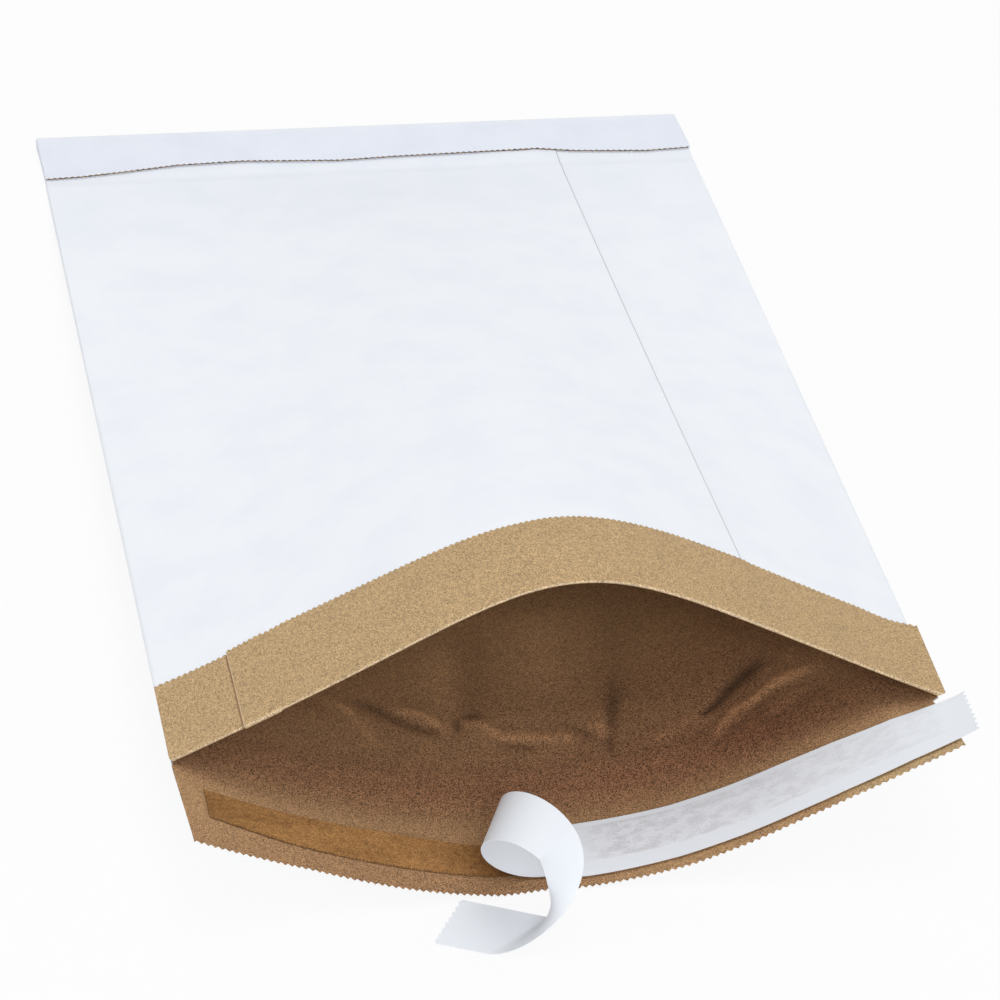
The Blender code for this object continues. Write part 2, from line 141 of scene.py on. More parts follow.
@dataclass(frozen=True)
class Sizes:
    """The envelope's sizes laid flat, and how its mouth stands open."""

    width: float = 266.7 * MM
    length: float = 406.4 * MM
    lip: float = 36.2 * MM
    cuff: float = 40.6 * MM
    ply: float = 0.2 * MM
    padding: float = 3.0 * MM
    gap: float = 0.2 * MM
    tooth_depth: float = 1.1 * MM
    left_height: float = 32.0 * MM
    right_height: float = 36.5 * MM
    left_pull: float = 8.6 * MM
    right_pull: float = 8.0 * MM
    arch_slope: float = 0.513
    arch_tilt: float = 0.006
    arch_roundness: float = 0.113
    arch_left_sag: float = 0.057
    arch_right_sag: float = 0.036
    back_low: float = 0.46
    back_flat_far: float = 0.40
    back_flat_mouth: float = 0.03
    back_curve: float = 1.66
    lip_lift_left: float = 0.02
    lip_lift_right: float = 0.24
    lip_inset: float = 2.0 * MM
    lip_left_insets: tuple[float, float] = (-1.1 * MM, 1.2 * MM)
    left_trim: float = 1.4 * MM
    crown_droop: float = 4.1 * MM
    droop_skew: float = 0.9
    droop_reach: float = 45.0 * MM
    right_lift: float = 6.2 * MM
    lift_reach: float = 40.0 * MM
    rise_run: float = 11.0 * MM
    far_shift: tuple[float, float] = (0.9 * MM, 2.0 * MM)
    shift_reach: float = 22.0 * MM
    cuff_left_spread: float = 1.1 * MM
    cuff_right_spread: tuple[float, float] = (2.4 * MM, 3.2 * MM)
    cuff_step: float = 1.1 * MM
    flap_press: float = 0.45
    flap_teeth: float = 0.6
    flap_drop: float = 0.9 * MM
    part_start: float = 32.0 * MM
    part_ease: float = 8.0 * MM
    padding_start: float = 29.0 * MM
    thin_padding: float = 0.1 * MM
    room_share: float = 0.4
    side_bulge: float = 0.25
    fold_steps: int = 8
    cells: int = 222
    front_cells: int = 280
    side_cells: int = 4
    far_step: float = 16.0 * MM
    near_reach: float = 100.0 * MM
    part_step: float = 2.0 * MM
    arch_points: int = 401
    sag_reach: float = 0.4
    corner_share: float = 0.06
    rise_fade: float = 0.5
    lip_thinning: float = 4.0
    press_reach: float = 20.0 * MM
    lap_climb: float = 0.2
    lap_run_off: tuple[float, float] = (0.006, 0.016)
    step_end: float = 1.15

    @property
    def lap_raise(self) -> float:
        """How far a glued lap's upper ply lies over the lower one."""
        return self.ply + self.gap

    @property
    def side_pad(self) -> float:
        """The thin padding and its gap at the folds."""
        return self.thin_padding + self.gap

    @property
    def stack(self) -> float:
        """Height of the flat far end: four plies and one lap."""
        return 2 * (2 * self.ply + self.gap) + self.gap + self.lap_raise

    @property
    def wall(self) -> float:
        """Thickness of one panel at the mouth."""
        return 2 * self.ply + self.gap + self.side_pad

    @property
    def fold_radius(self) -> float:
        """Inner radius of the far fold."""
        return self.lap_raise + self.ply / 2 + self.gap / 2

    @property
    def far_y(self) -> float:
        """Where the far fold lies."""
        return self.length / 2

    @property
    def inner_mid(self) -> float:
        """Depth of the inner ply's middle where it has no padding."""
        return self.ply + self.gap + self.ply / 2


@dataclass(frozen=True)
class Crease:
    """A ridge or furrow in the inside of the back panel, with painted highlight or painted shade along it.

    Its route is given as shares of the width and millimetres inward from the mouth.
    """

    route: tuple[tuple[float, float], ...]
    shade: float
    breadth: float
    taper: float = 0.0
    lift: float = 2.0 * MM
    fade_in: float = 0.3

    def strength(self, across: Array, past: Array, width: float) -> Array:
        """Weigh places by their nearness to the crease.

        Args:
            across: shares of the panel's width.
            past: distances inward from the mouth.
            width: the panel's width.

        Returns:
            1 on the crease, falling to 0 beside it.
        """
        place = np.stack([across * width, past], axis=-1)
        total = np.zeros(across.shape)
        points = [np.array([share * width, distance * MM]) for share, distance in self.route]
        pairs = list(zip(points, points[1:]))
        for index, (start, end) in enumerate(pairs):
            run = end - start
            share = np.clip((place - start) @ run / (run @ run), 0.0, 1.0)
            away = np.linalg.norm(place - start - share[..., None] * run, axis=-1)
            progress = (index + share) / len(pairs)
            breadth = self.breadth * MM * (1 - self.taper * progress)
            fade = np.clip(progress / self.fade_in, 0, 1)
            total = np.maximum(total, fade * np.exp(-((away / breadth) ** 2)))
        return total


# Ridges and furrows pressed into the back panel's inside, each with painted shade or painted highlight along
# it
INSIDE_CREASES = (
    Crease(((0.45, 90), (0.42, 46)), -0.13, 8.0),
    Crease(((0.41, 84), (0.385, 49)), 0.09, 6.0),
    Crease(((0.66, 100), (0.625, 47)), -0.08, 9.0),
    Crease(((0.545, 95), (0.53, 60)), 0.08, 9.0),
    Crease(((0.195, 48), (0.235, 46), (0.255, 39), (0.275, 28)), 0.16, 2.8, 0.3),
    Crease(((0.235, 45.8), (0.25, 42)), 0.20, 1.2),
    Crease(((0.25, 50.4), (0.285, 45.8), (0.325, 38.2), (0.36, 35.1)), -0.30, 3.2, 0.3),
    Crease(((0.30, 45), (0.33, 44.8), (0.355, 42.5), (0.37, 37.8)), 0.26, 1.7),
    Crease(((0.395, 42), (0.396, 36)), -0.32, 1.4),
    Crease(
        ((0.397, 37.4), (0.415, 38.2), (0.43, 36.7), (0.45, 31.3), (0.49, 29.8), (0.54, 28.3)),
        *(0.24, 1.9),
    ),
    Crease(((0.44, 29.5), (0.465, 26.8), (0.487, 25.5)), -0.25, 1.5),
    Crease(((0.40, 41.5), (0.427, 42)), -0.22, 1.6),
    Crease(((0.52, 37.4), (0.545, 34.4), (0.565, 29.8), (0.585, 25.2)), -0.18, 1.8),
    Crease(((0.572, 35), (0.597, 28.3)), 0.14, 2.2),
    Crease(((0.628, 58), (0.608, 38), (0.599, 28), (0.592, 20)), -0.30, 3.4, 0.65, 0.8 * MM),
    Crease(((0.595, 40), (0.583, 27)), 0.10, 2.2),
    Crease(((0.835, 46.5), (0.805, 42), (0.77, 35.9), (0.75, 31.3), (0.722, 26)), -0.44, 4.4, 0.7),
    Crease(
        ((0.905, 32.6), (0.855, 32.1), (0.825, 30.5), (0.795, 26), (0.765, 23.7), (0.735, 16.8)),
        *(0.42, 3.2, 0.5),
    ),
    Crease(((0.85, 25.2), (0.83, 19.6), (0.81, 17.2)), 0.14, 2.4),
    Crease(((0.835, 28.3), (0.805, 25.6), (0.793, 22.0)), -0.28, 1.3),
    Crease(((0.87, 23), (0.84, 15.5), (0.80, 12.5)), -0.09, 2.2),
    Crease(((0.768, 17.6), (0.748, 14.2), (0.73, 10.5)), -0.12, 2.2),
    Crease(((0.866, 45.4), (0.855, 41)), 0.20, 1.1),
    Crease(((0.635, 20.4), (0.67, 22.1), (0.70, 25.2), (0.725, 25.2)), 0.14, 2.6),
)

# Shares of the lip's rise at its right side, over shares of the width
RIGHT_RISE = ((0.64, 0.0), (0.72, 0.32), (0.79, 0.78), (0.85, 1.0), (0.93, 0.94), (1.0, 0.5))

# How far the hand-fed cuts run on past the teeth's line, in millimetres
LIP_EDGE = (
    *((0.0, 2.6), (0.07, 1.2), (0.15, 0.1), (0.28, 1.3), (0.4, 1.7), (0.46, 0.3), (0.66, 1.0)),
    (0.8, 0.0),
)
CUFF_EDGE = (
    *((0.0, -2.4), (0.1, -1.5), (0.17, 0.4), (0.32, -0.5), (0.47, -1.9), (0.58, 0.0)),
    *((0.66, 1.1), (0.77, 1.3), (0.85, 0.0), (0.93, -1.2), (0.97, -3.2), (1.0, -2.6)),
)

# The far flap's length in millimetres
FLAP_EDGE = (
    *((0.0, 27.4), (0.05, 26.6), (0.12, 24.2), (0.2, 20.9), (0.3, 19.8), (0.45, 21.9)),
    *((0.53, 20.7), (0.7, 19.6), (0.76, 19.2), (0.82, 21.8), (0.93, 23.8), (1.0, 22.6)),
)

# The adhesive band's two edges, in millimetres past the mouth
ADHESIVE_START = ((0.02, 9.4), (0.073, 10.6), (0.137, 11.2), (0.264, 11.8), (0.31, 13.0), (0.386, 15.4))
ADHESIVE_END = ((0.02, 23.1), (0.073, 24.3), (0.137, 26.1), (0.264, 27.6), (0.31, 28.2), (0.386, 29.4))

# Painted shade: how light the back panel's inside and its lip lining are painted, by millimetres inward from
# the mouth
INSIDE_SHADE_TONES = (
    *((-36, 0.61), (-20, 0.70), (-9, 0.76), (-5, 0.69), (-1, 0.52), (3, 0.43), (8, 0.36), (14, 0.41)),
    *((20, 0.51), (30, 0.58), (40, 0.60), (50, 0.65), (60, 0.73), (75, 0.83), (90, 0.92)),
)


class EnvelopeForm:
    """The curved surfaces of the half-open envelope, as formulas on shares of its panels."""

    def __init__(self, sizes: Sizes) -> None:
        """Work out the front panel's arch.

        Args:
            sizes: the envelope's sizes.
        """
        self.sizes = sizes
        self.arch = self.arch_profile()

    def arch_profile(self) -> tuple[Array, Array, Array]:
        """Draw the front panel's line over the mouth, left corner first.

        Returns:
            Shares of the width, and the x and z of each.
        """
        s = self.sizes
        share = np.linspace(0, 1, s.arch_points)
        slope = s.arch_slope * np.tanh((s.arch_slope - share) / s.arch_roundness) + s.arch_tilt
        slope = slope - s.arch_left_sag * (1 - ramp(share, 0, s.sag_reach)) ** 2
        slope = slope + s.arch_right_sag * ramp(share, 1 - s.sag_reach, s.sag_reach) ** 2
        x = np.concatenate([[0], np.cumsum(np.cos(slope[1:]))])
        z = np.concatenate([[0], np.cumsum(np.sin(slope[1:]))])
        scale = (s.width - s.left_pull - s.right_pull) / x[-1]
        left = s.left_height + s.wall
        right = s.right_height + s.wall
        z = left + z * scale + (right - left - z[-1] * scale) * share
        return share, s.left_pull - s.width / 2 + x * scale, z

    def parting(self, along: Array) -> Array:
        """Tell how far the panels have parted.

        Args:
            along: shares of the length from the far fold.

        Returns:
            Shares of the mouth's full opening.
        """
        start = self.sizes.part_start / self.sizes.length
        ease = self.sizes.part_ease / self.sizes.length
        eased = (along - start + ease) ** 2 / (4 * ease)
        part = np.where(along < start + ease, eased, along - start) / (1 - start)
        return np.where(along <= start - ease, 0.0, part)

    def padded_share(self, along: Array) -> Array:
        """Tell where the padding has begun, from 0 at the flat far end to 1."""
        s = self.sizes
        return ramp(along * s.length, s.padding_start, s.part_start - s.padding_start)

    def recession(self, rise: Array, shift: Array | float) -> Array:
        """Tell how far a raised mouth point draws back, as its sheet doesn't stretch.

        Args:
            rise: the point's height.
            shift: how far it has moved sideways.

        Returns:
            The distance that it draws back.
        """
        run = self.sizes.length - self.sizes.part_start
        return run - np.sqrt(run**2 - rise**2 - shift**2)

    def side_stack(self, along: Array) -> Array:
        """Height of the side folds: four plies, and thin padding where it has begun."""
        return self.sizes.stack + 2 * self.sizes.side_pad * self.padded_share(along)

    def flat_x(self, across: Array, along: Array) -> Array:
        """Place shares of the width on the flat tube, whose far fold lies a little to the left.

        Args:
            across: shares of the width.
            along: shares of the length.

        Returns:
            The x of each.
        """
        s = self.sizes
        far = np.clip(1 - along * s.length / s.shift_reach, 0, 1)
        return s.width * (across - 0.5) + s.left_trim * (1 - across) - far * blend(*s.far_shift, across)

    def front(self, across: Array, along: Array) -> Array:
        """Place points on the front panel's outer face.

        Args:
            across: shares of the width from the left side.
            along: shares of the length from the far fold.

        Returns:
            The points.
        """
        s = self.sizes
        part = self.parting(along)
        flat_x = self.flat_x(across, along)
        mouth_x = np.interp(across, self.arch[0], self.arch[1])
        mouth_z = np.interp(across, self.arch[0], self.arch[2])
        back = self.recession(mouth_z, mouth_x - flat_x)
        y = s.far_y - s.length * along + back * part
        z = blend(self.side_stack(along), mouth_z, part)
        near = np.maximum(1 - (1 - along) * s.length / s.droop_reach, 0.0)
        z = z - s.crown_droop * (near * np.sin(math.pi * np.clip(across, 0, 1) ** s.droop_skew)) ** 2
        return np.stack([blend(flat_x, mouth_x, along), y, z], axis=-1)

    def right_rise(self, across: Array, past: Array) -> Array:
        """Find how much higher the back panel and the lip lie near their right side.

        Args:
            across: shares of the width.
            past: distances past the mouth, negative inside.

        Returns:
            The heights.
        """
        s = self.sizes
        rise = s.right_lift * read_table(RIGHT_RISE, across)
        clear = ramp(1 - across, 0, s.corner_share)
        inside = clear * np.clip(1 + past / s.lift_reach, 0, 1) ** 2
        start = ramp(past, 0, s.rise_run)
        fading = 1 - s.rise_fade * ramp(past, 0, s.lip)
        outside = np.maximum(clear, start * start * (3 - 2 * start)) * fading
        return rise * np.where(past > 0, outside, inside)

    def back(self, across: Array, along: Array) -> Array:
        """Place points on the outer face of the back panel, and of the lip past the mouth.

        Args:
            across: shares of the width from the left side.
            along: shares of the length from the far fold, over 1 on the lip.

        Returns:
            The points.
        """
        s = self.sizes
        part = self.parting(np.minimum(along, 1.0))
        flat_x = self.flat_x(across, along)
        mouth_x = blend(s.left_pull - s.width / 2, s.width / 2 - s.right_pull, across)
        flat_share = blend(s.back_flat_far, s.back_flat_mouth, part)
        left = across < s.back_low
        left_reach = (s.back_low - across - flat_share) / (s.back_low - flat_share)
        right_reach = (across - s.back_low - flat_share) / (1 - s.back_low - flat_share)
        reach = np.where(left, left_reach, right_reach)
        height = np.where(left, s.left_height, s.right_height) - s.wall
        lift = np.where(left, s.lip_lift_left, s.lip_lift_right)
        curve = np.maximum(reach, 0.0) ** s.back_curve
        past_mouth = np.maximum(along - 1.0, 0.0) * s.length
        back = self.recession(height * curve, 0.0)
        y = s.far_y - s.length * along + back * part
        z = height * part * curve + past_mouth * (height / s.length + lift) * curve
        z = z + self.right_rise(across, (along - 1.0) * s.length)
        return np.stack([blend(flat_x, mouth_x, along), y, z], axis=-1)

    def outward(self, surface: Surface, across: Array, along: Array) -> tuple[Array, Array]:
        """Find a panel's outward normals and its unit directions toward the mouth.

        Args:
            surface: front or back.
            across: shares of the width.
            along: shares of the length.

        Returns:
            The normals and the directions.
        """
        step = 0.002
        low = np.minimum(across, np.maximum(across - step, 0.0))
        high = np.maximum(across, np.minimum(across + step, 1.0))
        sideways = surface(high, along) - surface(low, along)
        toward = surface(across, along + step) - surface(across, along - step)
        normal = np.cross(toward, sideways)
        if surface == self.back:
            normal = -normal
        normal /= np.linalg.norm(normal, axis=-1, keepdims=True)
        return normal, toward / np.linalg.norm(toward, axis=-1, keepdims=True)

    def sunk(self, surface: Surface, across: Array, along: Array, depth: Array | float) -> Array:
        """Place points at a depth below a panel's outer face.

        Args:
            surface: front or back.
            across: shares of the width.
            along: shares of the length.
            depth: how deep, negative for points outside the face.

        Returns:
            The points.
        """
        normal, _ = self.outward(surface, across, along)
        depths = np.broadcast_to(depth, across.shape)
        return surface(across, along) - normal * depths[..., None]

    def padding_room(self, across: Array, along: Array) -> Array:
        """Find the distance between the two plies' near faces, beyond one gap.

        Args:
            across: shares of the width.
            along: shares of the length.

        Returns:
            The distances.
        """
        s = self.sizes
        apart = self.front(across, along)[..., 2] - self.back(across, along)[..., 2]
        apart = np.maximum(apart - self.side_stack(along), 0.0)
        to_mouth = np.clip((1 - along) * s.length / (s.cuff - s.tooth_depth), 0, 1)
        room = s.side_pad + np.minimum(s.padding * to_mouth, s.room_share * apart)
        past = (along - 1.0) * s.length
        on_lip = s.side_pad * (1 - ramp(past, 0, s.lip_thinning * s.wall))
        return np.where(along > 1.0, on_lip, self.padded_share(along) * room)

    def lip_point(self, across: Array, past: Array, height: Array | float) -> Array:
        """Place points over the lip's lining.

        Args:
            across: shares of the width.
            past: distances past the mouth.
            height: how far over the lining's face.

        Returns:
            The points.
        """
        s = self.sizes
        depth = s.inner_mid + s.ply / 2 + height
        return self.sunk(self.back, across, 1 + past / s.length, depth)


@dataclass(frozen=True)
class Row:
    """One row across a sheet: its stretch and how far along that stretch it lies."""

    stretch: Stretch
    amount: float
    lip: float | None = None
    toothed: bool = False


@dataclass(frozen=True)
class Lap:
    """A lengthways glued lap on the front: its upper edge at the far end and at the mouth."""

    far: float
    mouth: float
    breadth: float
    inward: bool = False

    def edge(self, along: Array) -> Array:
        """Share of the width at which the upper ply ends."""
        return blend(self.far, self.mouth, along)


OUTER_LAP = Lap(far=0.792, mouth=0.757, breadth=0.045)
INNER_LAP = Lap(far=0.136, mouth=0.136, breadth=0.045, inward=True)


@dataclass
class Sheet:
    """A flat sheet folded once round the tube, with its own depth, inset and lap."""

    form: EnvelopeForm
    depth: Callable[[Array, Array], Array]
    inset: float = 0.0
    lap: Lap | None = None
    over: Lap | None = None
    lip_cover: float = 0.0
    flap: Table = ((0.0, 22.0), (1.0, 22.0))
    panels: Array = field(init=False)
    shares: Array = field(init=False)
    raised: Array = field(init=False)

    def __post_init__(self) -> None:
        """List the columns: each one's panel, its place on that panel and its lap weight."""
        s = self.form.sizes
        cells = s.front_cells
        side = (np.arange(s.side_cells - 1) + 1) / s.side_cells
        if self.lap is None:
            front = np.linspace(0, 1, cells + 1)
            first = [(Panel.FRONT, front, 0.0)]
            last = [(Panel.FRONT, front[:1], 0.0)]
        else:
            lap_cells = max(2, round(self.lap.breadth * cells))
            after = round((1 - self.lap.far) * cells)
            under = 1 + np.linspace(0, 1, lap_cells + 1)
            beyond = 2 + np.linspace(0, 1, after + 1)[1:]
            ahead = np.linspace(0, 1, cells - lap_cells - after + 1)[:-1]
            if self.lap.inward:
                first_raise, ahead_raise, last_raise = 1.0, 0.0, 0.0
            else:
                first_raise, last_raise = 0.0, -1.0
                ahead_raise = -(ramp(ahead, 1 - s.lap_climb, s.lap_climb) ** 2)
            first = [(Panel.FRONT, under, first_raise), (Panel.FRONT, beyond, 0.0)]
            last = [(Panel.FRONT, ahead, ahead_raise), (Panel.FRONT, under, last_raise)]
        back = [(Panel.BACK, np.linspace(1, 0, s.cells + 1), 0.0)]
        runs = first + [(Panel.RIGHT, side, 0.0)] + back + [(Panel.LEFT, side[::-1], 0.0)] + last
        self.panels = np.concatenate([np.full(len(values), panel.value) for panel, values, _ in runs])
        self.shares = np.concatenate([values for _, values, _ in runs])
        weights = [np.broadcast_to(weight, values.shape) for _, values, weight in runs]
        self.raised = np.concatenate(weights) * s.lap_raise

    def front_share(self, along: Array) -> Array:
        """Turn the front columns' stored shares into shares of the width.

        Args:
            along: each column's share of the length.

        Returns:
            Shares of the width, of which only those of front columns are used.
        """
        if self.lap is None:
            return self.shares
        end = self.lap.edge(along)
        start = end - self.lap.breadth
        before = self.shares * start
        inside = start + (self.shares - 1) * self.lap.breadth
        after = end + (self.shares - 2) * (1 - end)
        return np.where(self.shares < 1, before, np.where(self.shares <= 2, inside, after))

    def inner_share(self, share: Array, along: Array) -> Array:
        """Shift a share of the width inward by the sheet's inset and by the lip's notch.

        Args:
            share: shares of the width.
            along: shares of the length.

        Returns:
            The shifted shares.
        """
        s = self.form.sizes
        left_inset = blend(*s.lip_left_insets, np.clip((along - 1.0) * s.length / s.lip, 0, 1))
        left = (self.inset + np.where(along > 1.0, left_inset + self.lip_cover, 0.0)) / s.width
        right = (self.inset + np.where(along > 1.0, s.lip_inset + self.lip_cover, 0.0)) / s.width
        return left + share * (1 - left - right)

    def tube(self, along: Array) -> Array:
        """Place one row of points on the tube, or on the lip past the mouth.

        Args:
            along: each column's share of the length.

        Returns:
            The points, one for each column.
        """
        form = self.form
        front_across = self.inner_share(self.front_share(np.minimum(along, 1.0)), along)
        back_across = self.inner_share(np.clip(self.shares, 0, 1), along)
        front_depth = self.depth(front_across, along) + self.raised
        front = form.sunk(form.front, front_across, along, front_depth)
        relief = self.depth(back_across, along) + self.relief(back_across, along)
        back = form.sunk(form.back, back_across, along, relief)
        points = np.where((self.panels == Panel.FRONT.value)[:, None], front, back)
        for panel, edge in ((Panel.RIGHT, 1.0), (Panel.LEFT, 0.0)):
            on_side = self.panels == panel.value
            side_along = along[on_side]
            across = self.inner_share(np.full(side_along.shape, edge), side_along)
            depth = self.depth(across, side_along)
            top = form.sunk(form.front, across, side_along, depth)
            bottom = form.sunk(form.back, across, side_along, depth)
            share = self.shares[on_side]
            if panel is Panel.RIGHT:
                place = mix_points(top, bottom, share)
            else:
                place = mix_points(bottom, top, 1 - share)
            bulge = 4 * share * (1 - share) * form.sizes.side_bulge * (top - bottom)[:, 2]
            place[:, 0] += (edge * 2 - 1) * bulge
            points[on_side] = place
        return points

    def relief(self, across: Array, along: Array) -> Array:
        """Height of the creases on the back panel; a plain sheet has none."""
        return np.zeros(across.shape)

    def fold(self, angle: float, past: Array) -> Array:
        """Place one row of points round the far fold, or past it on the flap.

        Args:
            angle: how far round the fold, in radians.
            past: each column's distance past the fold.

        Returns:
            The points.
        """
        s = self.form.sizes
        flat = self.tube(np.zeros(self.shares.shape))
        radius = s.fold_radius + s.stack - flat[:, 2]
        y = s.far_y + radius * math.sin(angle) - past
        z = s.stack + s.fold_radius - radius * math.cos(angle)
        pressed = ramp(past, 0, s.press_reach)
        base = s.stack + 2 * s.fold_radius
        z = base + (z - base) * (1 - s.flap_press * pressed) - s.flap_drop * pressed
        back = np.clip(past / s.shift_reach, 0, 1) * blend(*s.far_shift, flat[:, 0] / s.width + 0.5)
        return np.stack([flat[:, 0] + back, y, z], axis=-1)

    def over_lap(self, share: Array) -> Array:
        """How far the cuff rises where it crosses the outer bag's lap.

        Args:
            share: shares of the width.

        Returns:
            The heights.
        """
        if self.over is None:
            return np.zeros(share.shape)
        s = self.form.sizes
        edge = self.over.mouth
        start = edge - self.over.breadth
        stops = ((1 - s.lap_climb) * start, start, *(edge + past for past in s.lap_run_off))
        return np.interp(share, stops, (0, 1, 1, 0)) * s.lap_raise

    def wrap(self, angle: float) -> Array:
        """Place one row where the inner bag folds out round the mouth's edge.

        Args:
            angle: how far round the edge, in radians.

        Returns:
            The points, one for each column.
        """
        s = self.form.sizes
        ones = np.ones(self.shares.shape)
        share = self.front_share(ones)
        across = self.inner_share(share, ones)
        normal, toward = self.form.outward(self.form.front, across, ones)
        inside = self.depth(across, ones)
        radius = (inside + s.gap + s.ply / 2) / 2
        centre = self.form.front(across, ones) - normal * (inside - radius)[:, None]
        over = self.over_lap(share) * (1 - math.cos(angle)) / 2
        reach = radius + self.raised + over
        points = centre + reach[:, None] * (toward * math.sin(angle) - normal * math.cos(angle))
        points[:, 0] += self.spread(share, np.zeros(share.shape)) * (1 - math.cos(angle)) / 2
        return points

    def spread(self, share: Array, length: Array) -> Array:
        """How far the cuff's two ends reach past the tube's sides.

        Args:
            share: shares of the width.
            length: distances from the mouth.

        Returns:
            The shifts along x.
        """
        s = self.form.sizes
        at_left = (1 - ramp(share, 0, s.corner_share)) ** 2
        at_right = ramp(share, 1 - s.corner_share, s.corner_share) ** 2
        return at_right * blend(*s.cuff_right_spread, length / s.cuff) - at_left * s.cuff_left_spread

    def cuff(self, length: Array) -> Array:
        """Place one row on the cuff, at each column's distance from the mouth.

        Args:
            length: the distances.

        Returns:
            The points, one for each column.
        """
        s = self.form.sizes
        ones = np.ones(self.shares.shape)
        share = self.front_share(ones)
        across = self.inner_share(share, ones)
        height = s.gap + s.ply / 2 + self.raised + self.over_lap(share)
        points = self.form.sunk(self.form.front, across, 1 - length / s.length, -height)
        points[:, 0] += self.spread(share, length)
        return points

    def cuff_step(self) -> Array:
        """How much higher the upper ply's cuff reaches, from its lap's edge onward.

        Returns:
            The extra reach at each column.
        """
        s = self.form.sizes
        share = self.front_share(np.ones(self.shares.shape))
        upper = np.arange(len(self.shares)) < len(self.shares) / 2
        step = np.where(upper, s.cuff_step * np.clip(s.step_end - share, 0, 1), 0.0)
        return step + read_table(CUFF_EDGE, share, MM)

    def flap_length(self) -> Array:
        """The flap's length at each column."""
        share = np.clip(self.front_share(np.zeros(self.shares.shape)), 0, 1)
        back = self.panels != Panel.FRONT.value
        share = np.where(back, np.clip(self.shares, 0, 1), share)
        return read_table(self.flap, share, MM)

    def row_points(self, row: Row) -> Array:
        """Place one row of the sheet.

        Args:
            row: the row.

        Returns:
            The points, one for each column.
        """
        s = self.form.sizes
        teeth = (np.arange(len(self.shares)) % 2) * s.tooth_depth if row.toothed else 0.0
        plain = np.zeros(self.shares.shape)
        if row.stretch is Stretch.FLAP:
            return self.fold(math.pi, self.flap_length() * row.amount - s.tooth_depth + teeth * s.flap_teeth)
        if row.stretch is Stretch.FOLD:
            return self.fold(row.amount, plain)
        if row.stretch is Stretch.TUBE:
            return self.tube(plain + row.amount / s.length)
        if row.stretch is Stretch.WRAP:
            points = self.wrap(row.amount)
        elif row.stretch is Stretch.CUFF:
            points = self.cuff((row.amount + teeth) * (1 + self.cuff_step() / s.cuff))
        else:
            points = self.tube(plain + 1.0)
        if row.lip is not None:
            reach = 1 + read_table(LIP_EDGE, np.clip(self.shares, 0, 1), MM) / s.lip
            lip = self.tube(1 + (row.lip + teeth + plain) * reach / s.length)
            points = np.where((self.panels == Panel.BACK.value)[:, None], lip, points)
        return points


class CreasedSheet(Sheet):
    """The inner bag's sheet, with the creases pressed into its back panel."""

    cushion: float = 2.4 * MM
    mouth_ease: float = 14.0 * MM
    deepest: float = 150.0 * MM
    deep_ease: float = 40.0 * MM
    side_ease: float = 0.08

    def relief(self, across: Array, along: Array) -> Array:
        """Sum the creases' heights.

        Args:
            across: shares of the width.
            along: shares of the length.

        Returns:
            The heights.
        """
        s = self.form.sizes
        past = (1 - along) * s.length
        total = np.zeros(across.shape)
        for crease in INSIDE_CREASES:
            total += crease.lift * crease.shade * crease.strength(across, past, s.width)
        inside = ramp(past, 0, self.mouth_ease) * ramp(self.deepest - past, 0, self.deep_ease)
        sides = ramp(across, 0, self.side_ease) * ramp(1 - across, 0, self.side_ease)
        return np.where(along < 1.0, (total + self.cushion) * inside * sides, 0.0)


